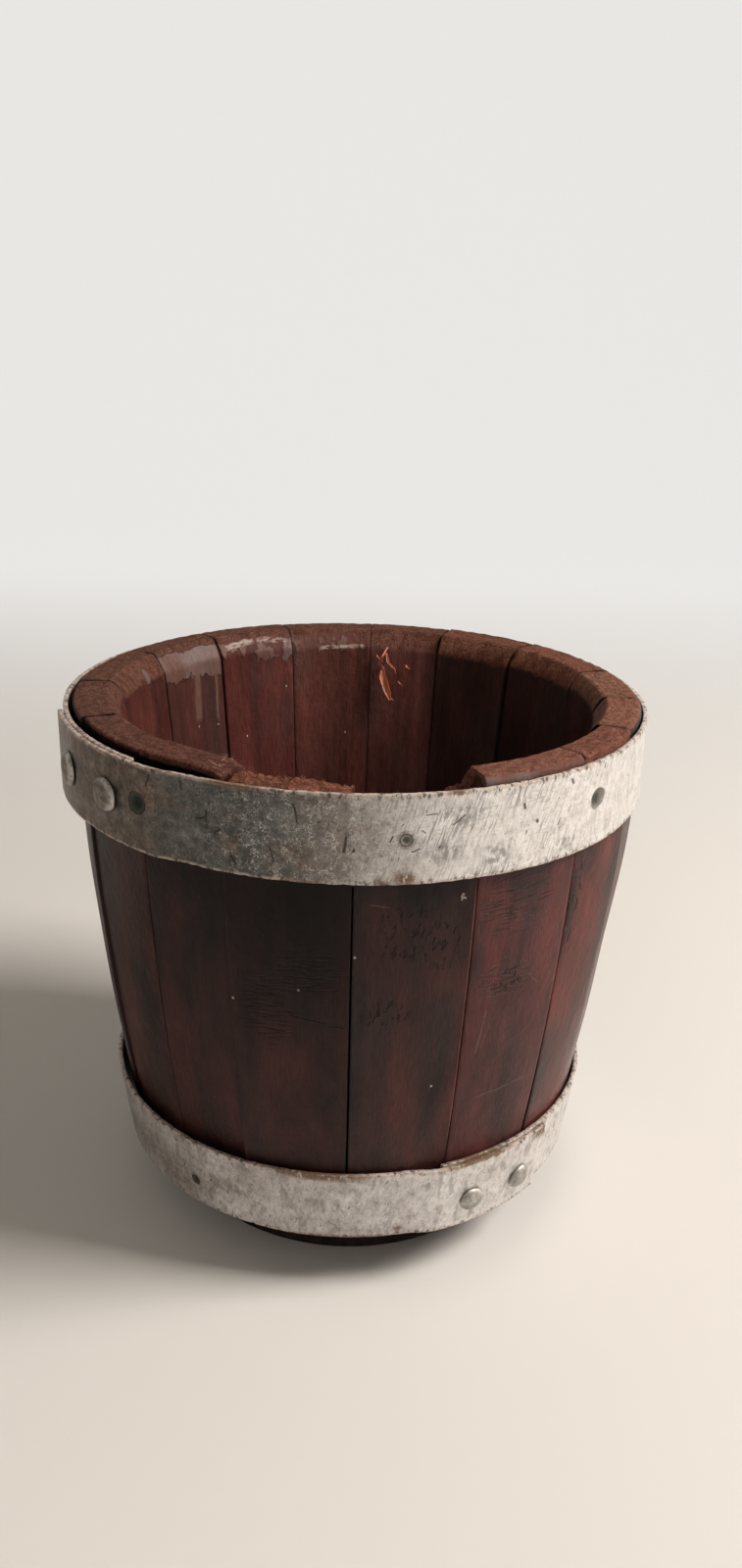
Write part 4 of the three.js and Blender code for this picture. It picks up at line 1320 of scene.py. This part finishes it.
def punch(strip, hoop, angle_deg, drop, radius, countersink):
    along = hoop.along(hoop.run_to(angle_deg))
    place = (along * MM, STRIP_THICKNESS / 2 * MM, (hoop.top - drop) * MM)
    deselect()
    deep = 1.1 * STRIP_THICKNESS
    bpy.ops.mesh.primitive_cone_add(vertices=32, radius1=radius * MM, radius2=countersink * MM,
                                    depth=deep * MM, location=place, rotation=(math.pi / 2, 0, 0))
    cut_with(strip, bpy.context.object)


def by_angle(degrees, table):
    return np.interp(degrees, [row[0] for row in table], [row[1] for row in table])


def make_hoop(hoop, punches, wear, rust_spots):
    corner = (hoop.length, STRIP_THICKNESS, hoop.top)
    strip = add_block(f"{hoop.label}_hoop_strip", (0, 0, hoop.bottom), corner)
    for cuts in STRIP_COLUMNS:
        cut_rows(strip, 0, cuts)
    cut_rows(strip, 2, STRIP_ROWS)
    ease_corners(strip, STRIP_EASE)
    for hole in punches:
        punch(strip, hoop, *hole)
    x, y, z = points_of(strip).T
    run = hoop.run_at(x)
    angle = hoop.start + hoop.turn * run
    degrees = np.degrees(angle) % 360
    across = z - hoop.bottom

    line = np.stack([x, 0 * y, 0 * z], 1)
    chewed = 0.40 * wander(line, 7, 2) + 0.55 * np.clip(wander(line, 2.6, 4), 0, 1)
    upper_edge = smooth_step(across, STRIP_WIDTH - EDGE_WEAR, STRIP_WIDTH)
    at_edge = upper_edge - smooth_step(across, EDGE_WEAR, 0)
    height = z - at_edge * np.abs(chewed)
    face = np.stack([x, 0 * y, z], 1)
    waves = sum(tall * (wander(face, length, seed) - 0.6) for tall, length, seed in STRIP_WAVES)
    radius = hoop.inner(run, height) + STRIP_THICKNESS - y + waves
    for owner, spot_deg, spot_drop, reach, rise in BURRS:
        if owner is hoop:
            away = np.hypot((degrees - spot_deg) * math.radians(hoop.seat), hoop.top - spot_drop - z)
            radius = radius + rise * np.exp(-(away / reach) ** 2) * (y < STRIP_THICKNESS / 2)
    roll_up(strip, radius, angle, height, HANG)

    keep(strip, "strip", np.stack([x + hoop.pattern_from, y, across], 1))
    for name, table in wear.items():
        keep(strip, name, by_angle(degrees, table))
    rust = np.zeros(len(x))
    for spot_deg, spot_across, half_length, half_height in rust_spots:
        aside = (degrees - spot_deg) * math.radians(hoop.seat) / half_length
        away = np.hypot(aside, (across - spot_across) / half_height)
        rust = np.maximum(rust, smooth_step(away, 1, 0.35))
    keep(strip, "rust", rust)
    return finish_piece(strip, f"{hoop.label}_hoop", hoop_metal)


upper_holes = [(a, UPPER_SCREW_DROP, *SCREW_HOLE) for a in UPPER_SCREWS]
upper_holes += [(a, UPPER_NAIL_DROP, *UPPER_NAIL_HOLE) for a in UPPER_NAILS]
lower_holes = [(a, LOWER_NAIL_DROP, *LOWER_NAIL_HOLE) for a in LOWER_NAILS]
upper_strip = make_hoop(upper, upper_holes, UPPER_WEAR, UPPER_RUST)
lower_strip = make_hoop(lower, lower_holes, LOWER_WEAR, LOWER_RUST)
print("hoop faces:", len(upper_strip.data.polygons), len(lower_strip.data.polygons))

# %% [markdown]
# The rivets are of a light metal, brown at the left and bright at the right, and most screws are dark iron.
# The mottled metals differ only in their colours, so one function makes them all from three colours each.
# Two attributes find the hollow of a worn head, which is coloured almost black, and the rim, which is painted
# bright on the side towards the light as a highlight over its wear.

# %% Fastener metals
def make_iron():
    material, tree, shader = new_material("fastener_iron")
    place = object_place(tree)
    grit = cloud(tree, place, 1.1 * MM, 5, 0.65)
    patch = cloud(tree, place, 3.8 * MM, 3)
    colour = ramp(tree, grit, [(0.3, (0.022, 0.027, 0.022)), (0.55, (0.066, 0.074, 0.061)),
                               (0.75, (0.160, 0.160, 0.133))])
    colour = mix(tree, between(tree, patch, 0.52, 0.66, 0, 0.5), colour, (0.050, 0.032, 0.021))
    # The hollow of a worn head is coloured almost black.
    colour = mix(tree, product(tree, attribute(tree, "hollow"), 0.9), colour, (0.003, 0.003, 0.003))
    feed(shader, "Base Color", colour)
    shader.inputs["Metallic"].default_value = 0.5
    feed(shader, "Roughness", between(tree, grit, 0.3, 0.7, 0.45, 0.75))
    feed(shader, "Normal", bump(tree, grit, 0.25))
    return material


def make_rivet_metal(name, low, middle, high):
    material, tree, shader = new_material(name)
    place = object_place(tree)
    mottle = cloud(tree, place, 3.5 * MM, 5, 0.65)
    grit = cloud(tree, place, 0.9 * MM, 4, 0.7)
    colour = ramp(tree, mottle, [(0.3, low), (0.5, middle), (0.7, high)])
    colour = mix(tree, between(tree, grit, 0.54, 0.70, 0, 0.5), colour, (0.085, 0.072, 0.060))
    # The rim of the head is painted bright on one side: a highlight over its wear.
    rubbed_and_highlit = product(tree, attribute(tree, "rubbed_and_highlit"), between(tree, mottle, 0.40, 0.55, 0.3, 0.8))
    colour = mix(tree, rubbed_and_highlit, colour, (0.640, 0.605, 0.560))
    # The hollow of a worn head is coloured almost black.
    colour = mix(tree, product(tree, attribute(tree, "hollow"), 0.8), colour, (0.020, 0.016, 0.012))
    feed(shader, "Base Color", colour)
    shader.inputs["Metallic"].default_value = 0.65
    feed(shader, "Roughness", between(tree, mottle, 0.3, 0.7, 0.38, 0.58))
    feed(shader, "Normal", bump(tree, grit, 0.10, bump(tree, mottle, 0.25)))
    return material


fastener_iron = make_iron()
brown_rivets = make_rivet_metal("brown_rivets", (0.06, 0.05, 0.041), (0.17, 0.142, 0.118),
                                (0.40, 0.355, 0.31))
bright_rivets = make_rivet_metal("bright_rivets", (0.18, 0.172, 0.16), (0.38, 0.365, 0.34),
                                 (0.64, 0.62, 0.59))
dull_screw = make_rivet_metal("dull_screw", (0.18, 0.17, 0.15), (0.32, 0.30, 0.265), (0.50, 0.47, 0.43))
dark_nails = make_rivet_metal("dark_nails", (0.030, 0.025, 0.021), (0.055, 0.045, 0.037),
                              (0.095, 0.080, 0.066))
print("fastener metals made")


# %% [markdown]
# Rivets were hammered over by hand, so each head is a low dome with flats where the hammer landed.
# A sphere is cut in half and flattened, and then planes are pressed into it, each at its own slant.
# A flattened sphere alone would look cast.

# %% Rivets
def select_faces(piece, test):
    bpy.context.tool_settings.mesh_select_mode = (False, False, True)
    mesh = piece.data
    mesh.vertices.foreach_set("select", np.zeros(len(mesh.vertices), dtype=bool))
    mesh.edges.foreach_set("select", np.zeros(len(mesh.edges), dtype=bool))
    mesh.polygons.foreach_set("select", np.array([bool(test(f)) for f in mesh.polygons]))
    bpy.ops.object.mode_set(mode="EDIT")


def stand_out(piece, hoop, angle_deg, drop):
    height = hoop.top - drop
    radius = hoop.inner(hoop.run_to(angle_deg), height) + STRIP_THICKNESS
    tilt = Matrix.Rotation(math.pi / 2 + math.atan(hoop.splay), 4, "Y")
    spin = Matrix.Rotation(math.radians(angle_deg), 4, "Z")
    centre = Matrix.Translation((HANG[0] * MM, HANG[1] * MM, 0))
    piece.data.transform(centre @ spin @ Matrix.Translation((radius * MM, 0, height * MM)) @ tilt)


RIVET_SHANK = 2.5
RIVET_SEAT = 0.3
RIVET_FLATS = 5
HAMMER_SLOPES = (0.10, 0.30)
HAMMER_HEIGHTS = (0.90, 1.02)
RIVET_SMOOTH = 25


def make_rivet(name, hoop, angle_deg, drop, head, rise, metal, seed):
    deselect()
    bpy.ops.mesh.primitive_uv_sphere_add(segments=48, ring_count=24, radius=head * MM)
    piece = bpy.context.object
    piece.name = f"{name}_head"
    bpy.ops.object.mode_set(mode="EDIT")
    bpy.ops.mesh.select_all(action="SELECT")
    bpy.ops.mesh.bisect(plane_co=(0, 0, 0.01 * head * MM), plane_no=(0, 0, 1), use_fill=True,
                        clear_inner=True)
    bpy.ops.object.mode_set(mode="OBJECT")
    x, y, z = points_of(piece).T
    out = np.hypot(x, y) / head
    z = rise * (1 - np.clip(out, 0, 1) ** 2.2) ** 0.55
    draw = random.Random(seed)
    for k in range(RIVET_FLATS):
        way = draw.uniform(0, 2 * math.pi)
        slope = draw.uniform(*HAMMER_SLOPES)
        flat_at = rise * draw.uniform(*HAMMER_HEIGHTS)
        z = np.minimum(z, flat_at - slope * (x * math.cos(way) + y * math.sin(way) - 0.25 * head))
    z = np.maximum(z, 0) + RIVET_SEAT
    wobble = 1 + 0.09 * wander(np.stack([x, y, 0 * z], 1), 5, seed)
    place_points(piece, np.stack([x * wobble, y * wobble, z], 1))
    # Only the side of the rim towards the light is made bright: a painted highlight.
    keep(piece, "rubbed_and_highlit", smooth_step(out, 0.62, 0.9) * smooth_step(y, -0.5 * head, 0.5 * head))
    select_faces(piece, lambda f: f.normal.z < -0.9)
    bpy.ops.mesh.inset(thickness=(head - RIVET_SHANK) * MM)
    through = RIVET_SEAT + STRIP_THICKNESS + LIFT
    extrude(-through)
    bpy.ops.object.mode_set(mode="OBJECT")
    stand_out(piece, hoop, angle_deg, drop)
    return finish_piece(piece, name, metal, RIVET_SMOOTH)


UPPER_RIVETS = [222.9, 207.8]
LOWER_RIVETS = [298.8, 312.6]
UPPER_RIVET_DROP = 17
LOWER_RIVET_DROP = 21
for k, angle in enumerate(UPPER_RIVETS):
    make_rivet(f"upper_hoop_rivet_{k + 1}", upper, angle, UPPER_RIVET_DROP, head=7, rise=2.6,
               metal=brown_rivets, seed=3 + k)
for k, angle in enumerate(LOWER_RIVETS):
    make_rivet(f"lower_hoop_rivet_{k + 1}", lower, angle, LOWER_RIVET_DROP, head=5.6, rise=2.4,
               metal=bright_rivets, seed=11 + k)
print("rivets:", len(UPPER_RIVETS + LOWER_RIVETS))

# %% [markdown]
# The screws are sunk below the strip: the front two are worn to a hollow, and the back two have a slot.
# The nails are small and almost flush.
# All of them are one kind of pin: a disc grown downwards into a cone, a shank and a point.

# %% Screws and nails
# Each pin: radius of its head, depth below the strip, radius of its shank, length, and length of the cone.
SCREW = (4.2, 0.6, 2, 18, 2)
UPPER_NAIL = (2.1, 0.3, 1.3, 13, 0.1)
LOWER_NAIL = (2.2, 0.3, 1.3, 13, 0.1)
HEAD_DEPTH = 1
POINT = 4
POINT_TAPER = 0.1
SLOT = (1.1, 1.8)
# Each pin is turned by this many times its angle on the hoop, so that no two stand alike.
SLOT_TURNS = 7
HOLLOW_RIM = 0.62
HOLLOW_DEPTH = 0.30
PIN_EASE = 0.15
PIN_SMOOTH = 30


def make_pin(name, hoop, angle_deg, drop, plan, slotted, metal):
    head, recess, shank, length, taper = plan
    deselect()
    head_place = (0, 0, -(recess + HEAD_DEPTH / 2) * MM)
    bpy.ops.mesh.primitive_cylinder_add(vertices=32, radius=head * MM, depth=HEAD_DEPTH * MM,
                                        location=head_place)
    bpy.ops.object.transform_apply(location=True, rotation=True, scale=True)
    piece = bpy.context.object
    piece.name = f"{name}_pin"
    select_faces(piece, lambda f: f.normal.z < -0.9)
    extrude(-taper)
    bpy.ops.transform.resize(value=(shank / head, shank / head, 1))
    extrude(-(length - taper - POINT))
    extrude(-POINT)
    bpy.ops.transform.resize(value=(POINT_TAPER, POINT_TAPER, 1))
    bpy.ops.object.mode_set(mode="OBJECT")
    if slotted:
        deselect()
        slot_size = (3 * head * MM, SLOT[0] * MM, SLOT[1] * MM)
        bpy.ops.mesh.primitive_cube_add(size=1, location=(0, 0, -recess * MM), scale=slot_size)
        cut_with(piece, bpy.context.object)
    else:
        select_faces(piece, lambda f: f.normal.z > 0.9)
        bpy.ops.mesh.inset(thickness=HOLLOW_RIM * head * MM)
        bpy.ops.transform.translate(value=(0, 0, -HOLLOW_DEPTH * head * MM))
        bpy.ops.object.mode_set(mode="OBJECT")
    ease_corners(piece, PIN_EASE, angle_deg=40)
    x, y, z = points_of(piece).T
    keep(piece, "hollow", smooth_step(np.hypot(x, y), 0.46 * head, 0.36 * head) * (z > -head))
    piece.data.transform(Matrix.Rotation(math.radians(angle_deg * SLOT_TURNS), 4, "Z"))
    stand_out(piece, hoop, angle_deg, drop)
    return finish_piece(piece, name, metal, PIN_SMOOTH)


for k, angle in enumerate(UPPER_SCREWS):
    metal = dull_screw if k == 1 else fastener_iron
    make_pin(f"upper_hoop_screw_{k + 1}", upper, angle, UPPER_SCREW_DROP, SCREW, k > 1, metal)
for k, angle in enumerate(UPPER_NAILS):
    make_pin(f"upper_hoop_nail_{k + 1}", upper, angle, UPPER_NAIL_DROP, UPPER_NAIL, False, bright_rivets)
for k, angle in enumerate(LOWER_NAILS):
    make_pin(f"lower_hoop_nail_{k + 1}", lower, angle, LOWER_NAIL_DROP, LOWER_NAIL, False, dark_nails)
print("screws and nails:", len(UPPER_SCREWS + UPPER_NAILS + LOWER_NAILS))


# %% [markdown]
# The bottom was turned on a lathe from one block: a foot, a flange for the groove in the staves and a
# dished top. A disc is grown upwards from the foot, ring by ring, and the drain holes are bored last.
# Spin would turn the same profile, but it leaves a seam that has to be merged.

# %% Bottom
def make_bottom_wood():
    material, tree, shader = new_material("bottom_wood")
    place = object_place(tree)
    fibre = cloud(tree, place, (5.5 * MM, 110 * MM, 17 * MM), 6, 0.6, swirl=0.4)
    patch = cloud(tree, place, 45 * MM, 5, 0.6)
    grit = cloud(tree, place, 1.4 * MM, 4, 0.7)
    # The colours are darkened far below the wood's own tone as painted shade, because the foot stands in the
    # shade under the lower hoop.
    colour = ramp(tree, fibre, [(0.3, (0.007, 0.006, 0.0055)), (0.5, (0.015, 0.010, 0.009)),
                                (0.7, (0.030, 0.018, 0.015))])
    colour = mix(tree, between(tree, patch, 0.5, 0.7, 0, 0.5), colour, (0.022, 0.018, 0.016))
    colour = mix(tree, between(tree, grit, 0.60, 0.72, 0, 0.4), colour, (0.050, 0.038, 0.032))
    feed(shader, "Base Color", colour)
    feed(shader, "Roughness", between(tree, patch, 0.3, 0.7, 0.60, 0.80))
    shader.inputs["Specular IOR Level"].default_value = 0.16
    turning = cloud(tree, place, (160 * MM, 160 * MM, 1.1 * MM), 2)
    feed(shader, "Normal", bump(tree, turning, 0.15, bump(tree, fibre, 0.25)))
    return material


FOOT_ROUND = 3
DISH_HEIGHT = 46
DISH_ROUND = 8
DISH_LAND = 2
LAND_EASE = 0.6
FIT = 0.3
# Each ring of drain holes: its radius and how many there are.
DRAINS = [(26, 4), (54, 8)]
DRAIN_RADIUS = 2.5
BOTTOM_SMOOTH = 30


def arc(centre_radius, centre_height, size, from_deg, to_deg, steps=5):
    for k in range(steps + 1):
        angle = math.radians(from_deg + (to_deg - from_deg) * k / steps)
        yield centre_radius + size * math.cos(angle), centre_height + size * math.sin(angle)


def bottom_profile():
    foot = inner_radius(FOOT_HEIGHT) - FIT
    low, high, deep = CROZE
    land = DISH_HEIGHT + DISH_ROUND
    yield from arc(foot - FOOT_ROUND, FOOT_ROUND, FOOT_ROUND, -90, 0)
    for height in (FOOT_HEIGHT, low + FIT):
        yield inner_radius(height) - FIT, height
    yield inner_radius(low) - FIT + deep, low + FIT
    yield inner_radius(high) - FIT + deep, high - FIT
    yield inner_radius(high) - FIT, high - FIT
    edge = inner_radius(land) - FIT
    yield edge - LAND_EASE, land - LAND_EASE
    yield edge - 2 * LAND_EASE, land
    yield from arc(edge - DISH_LAND - DISH_ROUND, land, DISH_ROUND, 0, -90)


def make_bottom():
    profile = list(bottom_profile())
    radius, height = profile[0]
    deselect()
    bpy.ops.mesh.primitive_circle_add(vertices=128, radius=radius * MM, fill_type="NGON")
    piece = bpy.context.object
    piece.name = "bottom_block"
    bpy.ops.object.mode_set(mode="EDIT")
    bpy.ops.mesh.select_all(action="SELECT")
    for next_radius, next_height in profile[1:]:
        extrude(next_height - height)
        bpy.ops.transform.resize(value=(next_radius / radius, next_radius / radius, 1))
        radius, height = next_radius, next_height
    bpy.ops.object.mode_set(mode="OBJECT")
    for ring, count in DRAINS:
        for k in range(count):
            angle = 2 * math.pi * (k + 0.5) / count
            place = (ring * math.cos(angle) * MM, ring * math.sin(angle) * MM, DISH_HEIGHT / 2 * MM)
            deselect()
            bpy.ops.mesh.primitive_cylinder_add(vertices=24, radius=DRAIN_RADIUS * MM,
                                                depth=2 * DISH_HEIGHT * MM, location=place)
            cut_with(piece, bpy.context.object)
    return finish_piece(piece, "bottom_board", make_bottom_wood(), BOTTOM_SMOOTH)


bottom = make_bottom()
print("bottom faces:", len(bottom.data.polygons))

# %% [markdown]
# The studio is a pale sheet that runs up behind the object in one curve.
# A soft key lamp stands high at the right, so the shadow falls to the left.
# The lamps fade with distance, so the far part of the sheet is shown paler to the camera and to the metal.

# %% Studio
SHEET_SIZE = 6
SHEET_CURVE = 1.2
SHEET_COLOUR = (0.765, 0.750, 0.730, 1)
PALE = (0.88, 0.865, 0.845, 1)
PALE_FROM_TO = (0.2, 1.5)
PALE_SHARE = 0.88
LAMP_AIM = (0, 0, 0.12)
SKY_COLOUR = (0.60, 0.81, 1.0, 1)
SKY_STRENGTH = 0.19


def make_sheet_paper():
    material, tree, shader = new_material("pale_sheet")
    shader.inputs["Base Color"].default_value = SHEET_COLOUR
    shader.inputs["Roughness"].default_value = 0.9
    place = object_place(tree)
    back = axes_of(tree, place)["Y"]
    ray = put(tree, "ShaderNodeLightPath", {}).outputs
    seen = largest(tree, [ray["Is Camera Ray"], ray["Is Glossy Ray"]])
    share = product(tree, seen, between(tree, back, *PALE_FROM_TO, 0, PALE_SHARE))
    glow = put(tree, "ShaderNodeEmission", {"Color": PALE, "Strength": 1.0}).outputs["Emission"]
    shown = put(tree, "ShaderNodeMixShader", {0: share, 1: shader.outputs["BSDF"], 2: glow}).outputs["Shader"]
    tree.links.new(shown, tree.nodes["Material Output"].inputs["Surface"])
    return material


def make_sheet():
    deselect()
    bpy.ops.mesh.primitive_plane_add(size=SHEET_SIZE, location=(0, 0, 0))
    sheet = bpy.context.object
    sheet.name = "studio_sheet"
    bpy.context.tool_settings.mesh_select_mode = (False, True, False)
    for edge in sheet.data.edges:
        edge.select = all(sheet.data.vertices[v].co.y > 0 for v in edge.vertices)
    bpy.ops.object.mode_set(mode="EDIT")
    bpy.ops.mesh.extrude_region_move(TRANSFORM_OT_translate={"value": (0, 0, SHEET_SIZE / 2)})
    bpy.ops.object.mode_set(mode="OBJECT")
    apply_modifier(sheet, "BEVEL", width=SHEET_CURVE, segments=16)
    bpy.ops.object.shade_smooth()
    sheet.data.materials.append(make_sheet_paper())
    sheet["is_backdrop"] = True


def make_lamp(name, place, aim, size, watts, colour):
    deselect()
    bpy.ops.object.light_add(type="AREA", location=place)
    lamp = bpy.context.object
    lamp.name = name
    lamp.data.energy = watts
    lamp.data.size = size
    lamp.data.color = colour
    lamp.rotation_euler = (Vector(aim) - Vector(place)).to_track_quat("-Z", "Y").to_euler()


make_sheet()
make_lamp("key", (1.35, -0.25, 1.5), LAMP_AIM, size=0.65, watts=43, colour=(1.0, 0.93, 0.85))
make_lamp("fill", (-0.5, -1.5, 1.2), LAMP_AIM, size=1.4, watts=2.4, colour=(1.0, 0.94, 0.88))
world = bpy.data.worlds.new("studio")
world.use_nodes = True
sky = world.node_tree.nodes["Background"].inputs
sky["Color"].default_value = SKY_COLOUR
sky["Strength"].default_value = SKY_STRENGTH
bpy.context.scene.world = world

# %% [markdown]
# Both boxes are printed: that of the solid model and that of the pieces made here. The visual
# pieces have to stay inside the box of the solid model.

# %% Sizes of the boxes
visual_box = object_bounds()
sizes = {"cad": [list(map(float, corner)) for corner in cad_box],
         "visual": [list(map(float, corner)) for corner in visual_box]}
print("box of the solids:", sizes["cad"])
print("box of the pieces:", sizes["visual"])
